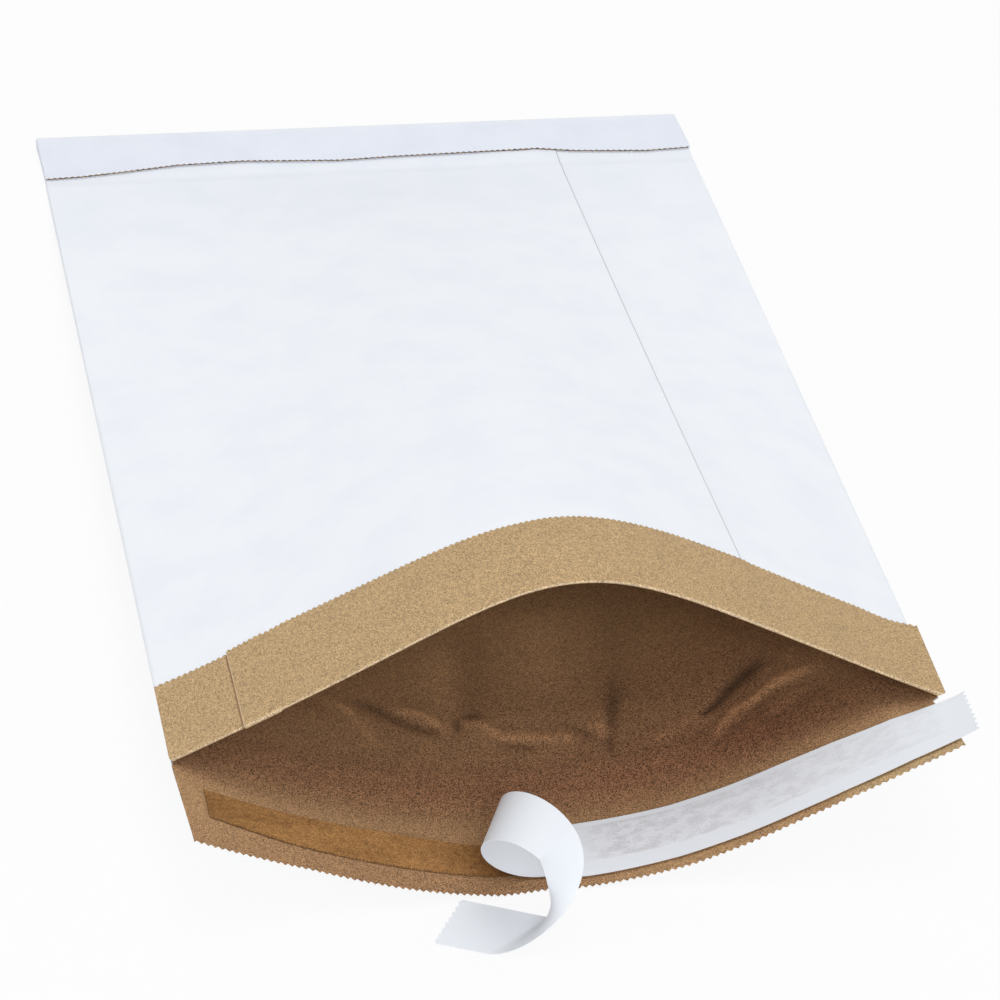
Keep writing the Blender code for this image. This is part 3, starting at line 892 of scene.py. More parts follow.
class Workshop:
    """The few modelling steps that every piece shares."""

    @staticmethod
    def grid(name: str, columns: int, rows: int) -> tuple[bpy.types.Object, Array, Array]:
        """Add a grid primitive and tell each vertex's column and row.

        Args:
            name: the piece's name.
            columns: the number of vertices across.
            rows: the number of vertices along.

        Returns:
            The object, and each vertex's column and row.
        """
        bpy.ops.object.select_all(action="DESELECT")
        bpy.ops.mesh.primitive_grid_add(
            x_subdivisions=columns - 1, y_subdivisions=rows - 1, size=1.0, location=(0, 0, 0)
        )
        thing = bpy.context.active_object
        thing.name = name
        thing.data.name = name
        flat = np.empty(len(thing.data.vertices) * 3)
        thing.data.vertices.foreach_get("co", flat)
        flat = flat.reshape(-1, 3)
        column = np.rint((flat[:, 0] + 0.5) * (columns - 1)).astype(int)
        row = np.rint((flat[:, 1] + 0.5) * (rows - 1)).astype(int)
        return thing, column, row

    @staticmethod
    def place(thing: bpy.types.Object, points: Array) -> None:
        """Move every vertex of a piece to its place."""
        thing.data.vertices.foreach_set("co", points.astype(np.float32).ravel())
        thing.data.update()

    @staticmethod
    def write_uv(thing: bpy.types.Object, across: Array, along: Array) -> None:
        """Write the sheet's own flat coordinates, in metres, as its UV map.

        Args:
            thing: the piece.
            across: each vertex's place across the flat sheet.
            along: each vertex's place along the flat sheet.
        """
        layer = thing.data.uv_layers[0] if thing.data.uv_layers else thing.data.uv_layers.new()
        layer.name = "paper"
        corner = np.empty(len(thing.data.loops), dtype=np.int32)
        thing.data.loops.foreach_get("vertex_index", corner)
        layer.uv.foreach_set("vector", np.stack([across[corner], along[corner]], axis=-1).ravel())

    @staticmethod
    def write_value(thing: bpy.types.Object, name: str, values: Array) -> None:
        """Write one number for each vertex as a named attribute."""
        attribute = thing.data.attributes.new(name, "FLOAT", "POINT")
        attribute.data.foreach_set("value", values.astype(np.float32))

    @staticmethod
    def drop(thing: bpy.types.Object, unused: Array) -> None:
        """Delete the vertices that the sheet's cut leaves out, and the faces on them.

        Args:
            thing: the piece.
            unused: true for each such vertex.
        """
        bpy.ops.object.mode_set(mode="EDIT")
        bpy.ops.mesh.select_mode(type="VERT")
        bpy.ops.mesh.select_all(action="DESELECT")
        bpy.ops.object.mode_set(mode="OBJECT")
        thing.data.vertices.foreach_set("select", unused)
        bpy.ops.object.mode_set(mode="EDIT")
        bpy.ops.mesh.delete(type="VERT")
        bpy.ops.object.mode_set(mode="OBJECT")

    @staticmethod
    def merge(thing: bpy.types.Object, distance: float) -> None:
        """Merge vertices that lie on one another, such as a tube's closing seam.

        Args:
            thing: the piece.
            distance: how near to one another they lie.
        """
        bpy.ops.object.mode_set(mode="EDIT")
        bpy.ops.mesh.select_all(action="SELECT")
        bpy.ops.mesh.remove_doubles(threshold=distance)
        bpy.ops.object.mode_set(mode="OBJECT")

    @staticmethod
    def thicken(thing: bpy.types.Object, thickness: float, group: str = "") -> None:
        """Give a sheet its thickness, face it outward and shade it.

        Args:
            thing: the piece, active.
            thickness: the sheet's thickness.
            group: the vertex group that scales it, if any.
        """
        solidify = thing.modifiers.new("thickness", "SOLIDIFY")
        solidify.thickness = thickness
        solidify.offset = 0.0
        solidify.vertex_group = group
        bpy.ops.object.modifier_apply(modifier=solidify.name)
        bpy.ops.object.mode_set(mode="EDIT")
        bpy.ops.mesh.select_all(action="SELECT")
        bpy.ops.mesh.normals_make_consistent(inside=False)
        bpy.ops.object.mode_set(mode="OBJECT")
        bpy.ops.object.shade_smooth_by_angle(angle=SMOOTH_ANGLE)


class Signal:
    """A number on its way through a material's nodes, with the usual arithmetic."""

    def __init__(self, graph: "Graph", socket: bpy.types.NodeSocket) -> None:
        """Wrap a socket.

        Args:
            graph: the material's nodes.
            socket: the output that carries the number.
        """
        self.graph = graph
        self.socket = socket

    def math(self, operation: str, *values: "Signal | float") -> "Signal":
        """Add a Math node whose values are given in order."""
        inputs = {place: value for place, value in enumerate(values)}
        return self.graph.add("ShaderNodeMath", {"operation": operation}, inputs).out()

    def __add__(self, other: "Signal | float") -> "Signal":
        """Add."""
        return self.math("ADD", self, other)

    def __radd__(self, other: float) -> "Signal":
        """Add, reflected."""
        return self.math("ADD", other, self)

    def __sub__(self, other: "Signal | float") -> "Signal":
        """Subtract."""
        return self.math("SUBTRACT", self, other)

    def __rsub__(self, other: float) -> "Signal":
        """Subtract, reflected."""
        return self.math("SUBTRACT", other, self)

    def __mul__(self, other: "Signal | float") -> "Signal":
        """Multiply."""
        return self.math("MULTIPLY", self, other)

    def __rmul__(self, other: float) -> "Signal":
        """Multiply, reflected."""
        return self.math("MULTIPLY", other, self)

    def between(self, low: float, high: float) -> "Signal":
        """Rise smoothly from 0 at one value to 1 at another.

        Args:
            low: the value that gives 0.
            high: the value that gives 1.

        Returns:
            The risen number.
        """
        settings = {"interpolation_type": "SMOOTHSTEP"}
        inputs = {"Value": self, "From Min": low, "From Max": high}
        return self.graph.add("ShaderNodeMapRange", settings, inputs).out("Result")


class Node:
    """One node of a material, with its outputs at hand."""

    def __init__(self, graph: "Graph", node: bpy.types.Node) -> None:
        """Wrap a node."""
        self.graph = graph
        self.node = node

    def out(self, name: str | int = 0) -> Signal:
        """Give one of the node's outputs."""
        return Signal(self.graph, self.node.outputs[name])


class Graph:
    """The nodes of one material or of the world, which all come from one method."""

    def __init__(self, owner: bpy.types.Material | bpy.types.World) -> None:
        """Give a material or a world an empty node tree.

        Args:
            owner: the material or the world.
        """
        owner.use_nodes = True
        self.owner = owner
        self.tree = owner.node_tree
        self.tree.nodes.clear()

    @classmethod
    def material(cls, name: str) -> "Graph":
        """Start a new material."""
        return cls(bpy.data.materials.new(name))

    def add(self, kind: str, settings: dict | None = None, inputs: dict | None = None) -> Node:
        """Add a node.

        Args:
            kind: the node's type.
            settings: its properties, set first.
            inputs: values or signals for its sockets, by name or number.

        Returns:
            The node.
        """
        node = self.tree.nodes.new(kind)
        for name, value in (settings or {}).items():
            setattr(node, name, value)
        for name, value in (inputs or {}).items():
            if isinstance(value, Signal):
                self.tree.links.new(value.socket, node.inputs[name])
            else:
                node.inputs[name].default_value = value
        return Node(self, node)

    def paper_place(self) -> Signal:
        """The place on the flat sheet, in metres, from the piece's UV map."""
        return self.add("ShaderNodeUVMap", {"uv_map": "paper"}).out("UV")

    def axes(self, place: Signal) -> tuple[Signal, Signal]:
        """The distances across and along the flat sheet."""
        parts = self.add("ShaderNodeSeparateXYZ", {}, {0: place})
        return parts.out("X"), parts.out("Y")

    def attribute(self, name: str) -> Signal:
        """A named number of the mesh."""
        return self.add("ShaderNodeAttribute", {"attribute_name": name}).out("Fac")

    def noise(self, place: Signal, scale: float, detail: float = 2.0, stretch: Colour = (1, 1, 1)) -> Signal:
        """Soft noise from 0 to 1.

        Args:
            place: where it is read.
            scale: features for each metre.
            detail: its octaves.
            stretch: how the place is scaled on each axis first.

        Returns:
            The noise.
        """
        mapping = self.add("ShaderNodeMapping", {}, {"Vector": place, "Scale": stretch}).out()
        inputs = {"Vector": mapping, "Scale": scale, "Detail": detail, "Roughness": 0.55}
        return self.add("ShaderNodeTexNoise", {"noise_dimensions": "3D"}, inputs).out("Fac")

    def speckle(self, place: Signal, scale: float) -> Signal:
        """Specks of even random brightness from 0 to 1, so many for each metre.

        Args:
            place: where they are read.
            scale: the specks for each metre.

        Returns:
            The brightness.
        """
        inputs = {"Vector": place, "Scale": scale}
        cells = self.add("ShaderNodeTexVoronoi", {"voronoi_dimensions": "2D"}, inputs).out("Color")
        return self.add("ShaderNodeSeparateXYZ", {}, {0: cells}).out("X")

    def mix(self, share: Signal | float, low: "Signal | Colour", high: "Signal | Colour") -> Signal:
        """Mix two colours.

        Args:
            share: how far to go, from 0 to 1.
            low: the colour at 0.
            high: the colour at 1.

        Returns:
            The mixed colour.
        """
        inputs: dict = {0: share}
        for place, value in ((6, low), (7, high)):
            inputs[place] = value if isinstance(value, Signal) else (*value, 1.0)
        node = self.add("ShaderNodeMix", {"data_type": "RGBA"}, inputs)
        return node.out(2)

    def scale(self, colour: Signal, factor: Signal) -> Signal:
        """Multiply a colour by a number."""
        inputs = {0: colour, "Scale": factor}
        return self.add("ShaderNodeVectorMath", {"operation": "SCALE"}, inputs).out("Vector")

    def bump(self, height: Signal, distance: float, strength: float = 1.0) -> Signal:
        """Turn a height into a bumped normal.

        Args:
            height: the height, from 0 to 1.
            distance: what a height of 1 stands for, in metres.
            strength: how much of it shows.

        Returns:
            The normal.
        """
        inputs = {"Height": height, "Distance": distance, "Strength": strength}
        return self.add("ShaderNodeBump", {}, inputs).out("Normal")

    def finish(self, inputs: dict) -> bpy.types.Material:
        """Add the Principled shader with these inputs and the output.

        Args:
            inputs: values or signals for the shader's sockets.

        Returns:
            The material.
        """
        shader = self.add("ShaderNodeBsdfPrincipled", {}, inputs).out("BSDF")
        self.add("ShaderNodeOutputMaterial", {}, {"Surface": shader})
        return self.owner


@dataclass(frozen=True)
class WhitePaper:
    """Smooth white machine-finished paper, with painted shade mixed in by the piece's tone attribute."""

    colour: Colour = linear(248, 251, 255)
    # The colour toward which both the random mottle and the painted shade mix
    mottle_and_shade: Colour = linear(229, 233, 244)
    # edge: the grey of the painted shade along the lap's edge
    edge: Colour = linear(176, 176, 178)
    lap_line: float = 0.5 * MM
    lap_shade_share: float = 0.8
    mottle_share: float = 0.25
    fibre: float = 2600.0
    fibre_share: float = 0.12
    wrinkle: float = 95.0
    wrinkle_depth: tuple[float, float] = (0.25, 2.2)

    def make(self, sheet_breadth: float) -> bpy.types.Material:
        """Build the material.

        Args:
            sheet_breadth: the flat sheet's breadth, at which its lap's edge lies.

        Returns:
            The material.
        """
        graph = Graph.material("white_paper")
        place = graph.paper_place()
        across, _ = graph.axes(place)
        mottle = graph.noise(place, 45.0, 3.0)
        # tone: painted shade, darker on the flap and toward the far fold
        tone = graph.attribute("tone")
        shade = mottle.between(0.35, 0.75) * self.mottle_share + tone
        colour = graph.mix(shade, self.colour, self.mottle_and_shade)
        # Painted shade in a thin line along the upper ply's edge at the lap, in place of the step's small
        # shadow
        lap_shade = across.between(sheet_breadth - self.lap_line, sheet_breadth - self.lap_line / 3)
        colour = graph.mix(lap_shade * self.lap_shade_share, colour, self.edge)
        grain = graph.noise(place, self.fibre, 3.0)
        least, more = self.wrinkle_depth
        wrinkle = graph.noise(place, self.wrinkle, 3.0, (1.0, 0.55, 1.0)) * (least + more * tone)
        normal = graph.bump(grain * self.fibre_share + wrinkle, 0.35 * MM, 0.6)
        rough = 0.62 + grain * 0.12
        return graph.finish({"Base Color": colour, "Roughness": rough, "Normal": normal, "IOR": 1.4})


@dataclass(frozen=True)
class BrownKraft:
    """Unbleached kraft paper with its fine fibre grain, and painted shade and highlights from its tone and
    shade attributes.
    """

    light: Colour = linear(188, 158, 116)
    lining: Colour = linear(178, 141, 101)
    # dark: the painted shade deep inside the bag
    dark: Colour = linear(117, 71, 49)
    # highlight: painted highlight on the fold at the mouth and on the inner lap's cut edge
    highlight: Colour = linear(214, 190, 156)
    bit: Colour = linear(92, 88, 84)
    specks: float = 4200.0
    speck_depths: tuple[float, float] = (2.31, 1.21)
    long_fibre: float = 900.0
    level: float = 1.02
    lap_line: float = 0.5 * MM
    edge_highlight_share: float = 0.6
    under_shadow_share: float = 0.55

    def make(self, sheet_breadth: float, lap_breadth: float) -> bpy.types.Material:
        """Build the material.

        Args:
            sheet_breadth: the flat sheet's breadth.
            lap_breadth: how much of it lies under the sheet's other edge.

        Returns:
            The material.
        """
        graph = Graph.material("brown_kraft")
        place = graph.paper_place()
        flat, _ = graph.axes(place)
        tone = graph.attribute("tone")
        speck = graph.speckle(place, self.specks)
        long_grain = graph.noise(place, self.long_fibre, 4.0, (1.0, 0.5, 1.0))
        cloud = graph.noise(place, 60.0, 3.0)
        # tone: painted shade from dark up to the lining's colour, and painted highlight above 1
        in_light = tone.between(0.0, 1.0)
        colour = graph.mix(in_light, self.dark, self.lining)
        colour = graph.mix(tone.between(0.92, 1.0), colour, self.light)
        colour = graph.mix(tone.between(1.0, 1.5), colour, self.highlight)
        in_dark, less = self.speck_depths
        depth = in_dark - less * in_light
        mottle = (speck - 0.5) * depth + (long_grain - 0.5) * 0.25 + (cloud - 0.5) * 0.12
        # shade: the creases' painted shade and painted highlight
        colour = graph.scale(colour, (self.level + mottle) * (1 + graph.attribute("shade")))
        # Painted highlight along the upper ply's cut edge at the inner lap
        cut = 1 - flat.between(self.lap_line / 2, self.lap_line)
        colour = graph.mix(cut * self.edge_highlight_share, colour, self.highlight)
        # Painted shadow on the lower ply just beside that edge
        edge = sheet_breadth - lap_breadth
        under = flat.between(edge - 2 * self.lap_line, edge - self.lap_line)
        under = under * (1 - flat.between(edge, edge + self.lap_line))
        colour = graph.mix(under * self.under_shadow_share, colour, self.dark)
        flakes = graph.noise(place, 650.0, 2.0, (1.0, 0.4, 1.0)).between(0.40, 0.62)
        colour = graph.mix(graph.attribute("bits") * flakes, colour, self.bit)
        normal = graph.bump(long_grain, 0.14 * MM, 0.6)
        rough = 0.78 + long_grain * 0.1
        return graph.finish({"Base Color": colour, "Roughness": rough, "Normal": normal, "IOR": 1.4})


@dataclass(frozen=True)
class GreyFibre:
    """Shredded grey paper fibre."""

    light: Colour = linear(160, 156, 150)
    dark: Colour = linear(88, 84, 80)

    def make(self) -> bpy.types.Material:
        """Build the material.

        Returns:
            The material.
        """
        graph = Graph.material("grey_fibre")
        place = graph.paper_place()
        fluff = graph.noise(place, 380.0, 6.0)
        colour = graph.mix(fluff.between(0.35, 0.65), self.dark, self.light)
        normal = graph.bump(fluff, 0.8 * MM, 0.9)
        rough = 0.88 + fluff * 0.1
        return graph.finish({"Base Color": colour, "Roughness": rough, "Normal": normal})


@dataclass(frozen=True)
class HotMelt:
    """Amber pressure-sensitive adhesive, laid as a slightly streaky film, with painted shadow and darkening
    from its tone attribute.
    """

    dot_pitch: float = 1.3 * MM
    dot_band: tuple[float, float] = (0.8 * MM, 0.5 * MM)
    speck_depth: float = 0.9
    light: Colour = linear(184, 136, 84)
    # dark: the darker amber of the streaks, and the colour of the painted shadow
    dark: Colour = linear(98, 62, 28)
    bead: Colour = linear(120, 88, 56)

    def make(self, breadth: float) -> bpy.types.Material:
        """Build the material.

        Args:
            breadth: the band's breadth, along whose lower edge a dotted bead runs.

        Returns:
            The material.
        """
        graph = Graph.material("hot_melt")
        place = graph.paper_place()
        across, along = graph.axes(place)
        streak = graph.noise(place, 120.0, 3.0, (0.3, 1.0, 1.0))
        blob = graph.noise(place, 420.0, 4.0)
        grain = graph.speckle(place, 3400.0)
        tone = graph.attribute("tone")
        # tone: painted shadow beside the liner's curl, and darker toward the band's left end
        shade = streak.between(0.35, 0.7) * 0.3 + blob.between(0.4, 0.7) * 0.2 + tone
        colour = graph.mix(shade, self.light, self.dark)
        colour = graph.scale(colour, 1 + (grain - 0.5) * self.speck_depth)
        waves = across * (2 * math.pi / self.dot_pitch)
        dots = waves.math("SINE", waves)
        low, high = (breadth - inward for inward in self.dot_band)
        bead = along.between(low, high) * dots.between(-0.2, 0.4)
        colour = graph.mix(bead * 0.6, colour, self.bead)
        normal = graph.bump(streak + blob * 0.5, 0.4 * MM, 0.8)
        rough = 0.30 + blob * 0.15
        return graph.finish({"Base Color": colour, "Roughness": rough, "Normal": normal, "IOR": 1.48})


@dataclass(frozen=True)
class LinerPaper:
    """White silicone-coated release paper, mottled grey where it still sticks."""

    colour: Colour = linear(243, 247, 252)
    stuck: Colour = linear(243, 245, 250)
    spot: Colour = linear(216, 216, 220)
    band: tuple[float, float] = (2.2 * MM, 18.0 * MM)
    band_ease: tuple[float, float] = (0.6 * MM, 0.8 * MM)

    def make(self) -> bpy.types.Material:
        """Build the material.

        Returns:
            The material.
        """
        graph = Graph.material("liner_paper")
        place = graph.paper_place()
        _, along = graph.axes(place)
        low, high = self.band
        low_ease, high_ease = self.band_ease
        band = along.between(low - low_ease, low + low_ease)
        band = band * (1 - along.between(high - high_ease, high + high_ease)) * graph.attribute("stuck")
        blotch = graph.noise(place, 330.0, 4.0, (0.6, 1.0, 1.0))
        fine = graph.noise(place, 1300.0, 2.0)
        colour = graph.mix(band, self.colour, self.stuck)
        mottle = blotch.between(0.40, 0.64) * 0.65 + fine.between(0.4, 0.7) * 0.5
        colour = graph.mix(band * mottle, colour, self.spot)
        normal = graph.bump(blotch * band + fine * 0.08, 0.3 * MM, 0.7)
        rough = 0.42 + blotch * 0.12
        return graph.finish({"Base Color": colour, "Roughness": rough, "Normal": normal, "IOR": 1.45})


def ride_as(thing: bpy.types.Object, node: str, material: bpy.types.Material) -> None:
    """Dress a piece and set it in the place of its CAD node.

    Args:
        thing: the piece.
        node: the CAD node that it stands for.
        material: its finish.
    """
    thing.data.materials.clear()
    thing.data.materials.append(material)
    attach(thing, "root")
    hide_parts(node)
    LOG.info("%s: %d vertices, stands for %s", thing.name, len(thing.data.vertices), node)


def spaced(start: float, end: float, step: float) -> list[float]:
    """List distances from start up to but not including end, about a step apart."""
    count = max(1, round(abs((end - start) / step)))
    return [blend(start, end, index / count) for index in range(count)]


def far_rows(sizes: Sizes, flap: tuple[float, ...], flat_step: float) -> list[Row]:
    """List a sheet's rows over the flap, the far fold and the tube until its panels have parted.

    Args:
        sizes: the envelope's sizes.
        flap: the shares of the flap's length that get a plain row.
        flat_step: the rows' distance on the flat far end.

    Returns:
        The rows.
    """
    before, after = sizes.part_start - sizes.part_ease, sizes.part_start + sizes.part_ease
    turns = range(sizes.fold_steps)
    rows = [Row(Stretch.FLAP, share) for share in flap]
    rows += [Row(Stretch.FOLD, math.pi * (1 - turn / sizes.fold_steps)) for turn in turns]
    stops = [*spaced(0.0, before, flat_step), *spaced(before, after, sizes.part_step)]
    return rows + [Row(Stretch.TUBE, stop) for stop in stops]


@dataclass
class Folded:
    """A piece folded from a flat sheet, and where each of its vertices lies on that sheet."""

    thing: bpy.types.Object
    column: Array
    row: Array
    places: Array
    breadth: float


def fold_up(name: str, sheet: Sheet, rows: list[Row]) -> Folded:
    """Fold a flat grid into a piece and write its own flat coordinates.

    Args:
        name: the piece's name.
        sheet: the sheet that it is folded from.
        rows: the sheet's rows, in order.

    Returns:
        The folded piece.
    """
    thing, column, row = Workshop.grid(name, len(sheet.shares), len(rows))
    points = np.stack([sheet.row_points(one) for one in rows])
    Workshop.place(thing, points[row, column])
    middle = points[len(points) // 2]
    widths = np.linalg.norm(np.diff(middle, axis=0), axis=1)
    steps = np.linalg.norm(np.diff(points, axis=0), axis=2)
    across = np.concatenate([[0], np.cumsum(widths)])
    along = np.concatenate([np.zeros((1, points.shape[1])), np.cumsum(steps, axis=0)])
    Workshop.write_uv(thing, across[column], along[row, column])
    return Folded(thing, column, row, points[row, column], float(across[-1]))


@dataclass
class OuterBag:
    """The white bag: tube, folded far end with its serrated flap, and the lip's outside."""

    form: EnvelopeForm
    finish: WhitePaper = WhitePaper()
    flap_shares: tuple[float, ...] = (0.96, 0.8, 0.6, 0.4, 0.2)
    flat_step: float = 4.0 * MM
    row_step: float = 9.0 * MM
    lip_step: float = 2.4 * MM
    lip_short: float = 0.7 * MM
    lip_cover: float = 0.9 * MM
    mouth_short: float = 2.2 * MM
    # Painted shade: how much darker the flap and the far end are painted
    flap_shade: float = 0.7
    far_shade: float = 0.32
    far_shade_reach: float = 95.0 * MM

    def rows(self) -> tuple[list[Row], int]:
        """List the rows, and the number of those up to the mouth.

        Returns:
            The rows and that number.
        """
        s = self.form.sizes
        rows = [Row(Stretch.FLAP, 1.0, toothed=True), *far_rows(s, self.flap_shares, self.flat_step)]
        last = s.length - self.mouth_short
        stops = spaced(s.part_start + s.part_ease, last, self.row_step)
        rows += [Row(Stretch.TUBE, stop) for stop in (*stops, last)]
        upto = len(rows)
        rows.append(Row(Stretch.TUBE, s.length - s.wall / 4))
        end = s.lip - s.tooth_depth - self.lip_short
        rows += [Row(Stretch.LIP, 0.0, lip) for lip in spaced(self.lip_step / 2, end, self.lip_step)]
        rows.append(Row(Stretch.LIP, 0.0, end, toothed=True))
        return rows, upto

    def build(self) -> bpy.types.Object:
        """Fold the sheet and dress it.

        Returns:
            The finished piece.
        """
        s = self.form.sizes

        def depth(across: Array, along: Array) -> Array:
            """Depth of the outer ply's middle."""
            return np.full(across.shape, s.ply / 2)

        sheet = Sheet(self.form, depth, 0.0, OUTER_LAP, lip_cover=self.lip_cover, flap=FLAP_EDGE)
        rows, upto = self.rows()
        bag = fold_up("outer_bag_paper", sheet, rows)
        # Paint shade on the flap, and shade fading in toward the far fold
        far = 1 - ramp(s.far_y - bag.places[:, 1], 0, self.far_shade_reach)
        on_flap = bag.row <= len(self.flap_shares)
        Workshop.write_value(bag.thing, "tone", np.where(on_flap, self.flap_shade, self.far_shade * far))
        Workshop.drop(bag.thing, (bag.row >= upto) & (sheet.panels[bag.column] != Panel.BACK.value))
        Workshop.thicken(bag.thing, s.ply)
        ride_as(bag.thing, "outer_bag", self.finish.make(bag.breadth))
        return bag.thing


@dataclass
class InnerBag:
    """The brown bag: tube, creased inside, cuff over the mouth's edge and lip lining."""

    form: EnvelopeForm
    finish: BrownKraft = BrownKraft()
    inset: float = 0.6 * MM
    flap_shares: tuple[float, ...] = (1.008, 0.97, 0.8, 0.5, 0.2)
    flat_step: float = 6.0 * MM
    near_step: float = 1.8 * MM
    middle_step: float = 5.5 * MM
    near: float = 54.0 * MM
    wrap_steps: int = 6
    first_row: float = 1.5 * MM
    cuff_row: float = 5.0 * MM
    cuff_rows: int = 5
    lip_row: float = 3.0 * MM
    cuff_margin: float = 0.2 * MM
    lip_margin: float = 0.3 * MM
    # Painted highlight on the fold at the mouth's edge, and painted lighter patches at the left, at the
    # right and on the lip's outer part
    wrap_highlight: float = 0.45
    wrap_highlight_turns: tuple[float, float] = (1.2, 2.4)
    left_painted_light: tuple[float, float] = (0.22, 0.42)
    right_painted_light: float = 0.24
    right_painted_light_run: tuple[float, float] = (0.79, 0.15)
    lip_painted_light: float = 0.34
    lip_painted_light_run: tuple[float, float] = (20.0 * MM, 10.0 * MM)
    lip_painted_light_right: tuple[float, float] = (0.5, 0.1)
    # Gains of the creases' painted shade and painted highlight
    shade_depth: float = 1.5
    ridge_gain: float = 1.9

    def rows(self) -> tuple[list[Row], int]:
        """List the rows, and the number of those up to the mouth.

        Returns:
            The rows and that number.
        """
        s = self.form.sizes
        rows = far_rows(s, self.flap_shares, self.flat_step)
        stops = spaced(s.part_start + s.part_ease, s.length - s.near_reach, s.far_step)
        stops += spaced(s.length - s.near_reach, s.length - self.near, self.middle_step)
        stops += spaced(s.length - self.near, s.length, self.near_step)
        rows += [Row(Stretch.TUBE, stop) for stop in (*stops, s.length)]
        upto = len(rows)
        cuff_end, lip_end = s.cuff - s.tooth_depth, s.lip - s.tooth_depth
        turns = range(1, self.wrap_steps + 1)
        ends = [(Stretch.WRAP, math.pi * turn / self.wrap_steps) for turn in turns]
        cuffs = spaced(self.first_row, cuff_end - self.cuff_margin, self.cuff_row)
        ends += [(Stretch.CUFF, cuff) for cuff in (*cuffs[: self.cuff_rows], cuffs[-1])]
        lips = [*spaced(self.first_row, lip_end, self.lip_row), lip_end - self.lip_margin]
        rows += [Row(stretch, amount, lip) for (stretch, amount), lip in zip(ends, lips, strict=True)]
        rows.append(Row(Stretch.CUFF, cuff_end, lip_end, toothed=True))
        return rows, upto

    def tones(self, sheet: Sheet, rows: list[Row], upto: int) -> tuple[Array, Array]:
        """Weigh the painted shade and highlights at each point, and the creases' painted shade.

        Args:
            sheet: the folded sheet.
            rows: its rows.
            upto: the number of rows up to the mouth.

        Returns:
            The painted tones and the creases' painted shades, by row and column.
        """
        s = self.form.sizes
        tones = np.ones((len(rows), len(sheet.shares)))
        shades = np.zeros(tones.shape)
        back = sheet.panels == Panel.BACK.value
        across = np.where(back, np.clip(sheet.shares, 0, 1), 0.5)
        least, most = self.wrap_highlight_turns
        for index, row in enumerate(rows):
            if row.stretch is Stretch.TUBE:
                past = s.length - row.amount
                tones[index] = read_table(INSIDE_SHADE_TONES, past / MM)
                for crease in INSIDE_CREASES:
                    near = crease.strength(across, np.full(across.shape, past), s.width)
                    gain = self.ridge_gain if crease.shade > 0 else self.shade_depth
                    shades[index] += np.where(back, near * crease.shade * gain, 0.0)
            elif index >= upto:
                # Rows round the fold get the painted highlight; the lip lining gets the painted shade
                bent = row.stretch is Stretch.WRAP and least < row.amount < most
                lining = read_table(INSIDE_SHADE_TONES, -(row.lip or 0.0) / MM)
                tones[index] = np.where(back, lining, 1.0 + self.wrap_highlight * bent)
        # Painted lighter patches at the left and right of the inside, and on the lip's outer part
        folded = len(self.flap_shares) + s.fold_steps // 2
        gain, left_end = self.left_painted_light
        tones[folded:] += gain * np.where(back, left_end - across, 0.0)
        tones[folded:] += self.right_painted_light * np.where(back, ramp(across, *self.right_painted_light_run), 0.0)
        reach = np.array([row.lip or 0.0 for row in rows])
        outer = ramp(reach, *self.lip_painted_light_run)[:, None]
        tones += self.lip_painted_light * outer * np.where(back, ramp(across, *self.lip_painted_light_right), 0.0)
        return tones, shades

    def build(self) -> bpy.types.Object:
        """Fold the sheet and dress it.

        Returns:
            The finished piece.
        """
        s = self.form.sizes

        def depth(across: Array, along: Array) -> Array:
            """Depth of the inner ply's middle."""
            return s.inner_mid + self.form.padding_room(across, along)

        sheet = CreasedSheet(self.form, depth, self.inset, INNER_LAP, OUTER_LAP, flap=FLAP_EDGE)
        rows, upto = self.rows()
        bag = fold_up("inner_bag_paper", sheet, rows)
        tones, shades = self.tones(sheet, rows, upto)
        # Paint the shade and highlights, and the creases' painted shade and highlight
        Workshop.write_value(bag.thing, "tone", tones[bag.row, bag.column])
        Workshop.write_value(bag.thing, "shade", shades[bag.row, bag.column])
        Workshop.write_value(bag.thing, "bits", (bag.row < 2).astype(float))
        side = (sheet.panels == Panel.LEFT.value) | (sheet.panels == Panel.RIGHT.value)
        Workshop.drop(bag.thing, (bag.row >= upto) & side[bag.column])
        Workshop.thicken(bag.thing, s.ply)
        finish = self.finish.make(bag.breadth, INNER_LAP.breadth * s.width)
        ride_as(bag.thing, "inner_bag", finish)
        return bag.thing


@dataclass
class Padding:
    """The fibre layer between the bags, thick in the panels and thin at folds and mouth."""

    form: EnvelopeForm
    finish: GreyFibre = GreyFibre()
    inset: float = 0.3 * MM
    step: float = 6.0 * MM
    mouth_short: float = 3.0 * MM
    cells: int = 60
    fill: float = 0.6

    def build(self) -> bpy.types.Object:
        """Fill the space between the bags.

        Returns:
            The finished piece.
        """
        s = self.form.sizes

        def thickness(across: Array, along: Array) -> Array:
            """Thickness of the fibre."""
            return self.form.padding_room(across, along) - s.gap

        def depth(across: Array, along: Array) -> Array:
            """Depth of the fibre's middle."""
            return s.ply + s.gap + thickness(across, along) / 2

        sheet = Sheet(EnvelopeForm(Sizes(cells=self.cells)), depth, self.inset)
        end = s.length - self.mouth_short
        stops = spaced(s.part_start, s.part_start + s.part_ease, s.part_step)
        stops += spaced(s.part_start + s.part_ease, s.length - s.near_reach, s.far_step)
        stops += spaced(s.length - s.near_reach, end, self.step)
        rows = [Row(Stretch.TUBE, stop) for stop in (*stops, end)]
        fibre = fold_up("padding_fibre", sheet, rows)
        across = np.clip(sheet.shares, 0, 1)
        across = np.where(sheet.panels == Panel.RIGHT.value, 1.0, across)
        across = np.where(sheet.panels == Panel.LEFT.value, 0.0, across)
        along = (np.array([one.amount for one in rows]) / s.length)[fibre.row]
        full = s.padding + s.thin_padding
        weights = thickness(sheet.inner_share(across[fibre.column], along), along) / full
        group = fibre.thing.vertex_groups.new(name="fibre")
        for index, weight in enumerate(weights):
            group.add([index], float(weight), "REPLACE")
        Workshop.merge(fibre.thing, s.gap / 10)
        Workshop.thicken(fibre.thing, full, group.name)
        ride_as(fibre.thing, "padding", self.finish.make())
        return fibre.thing


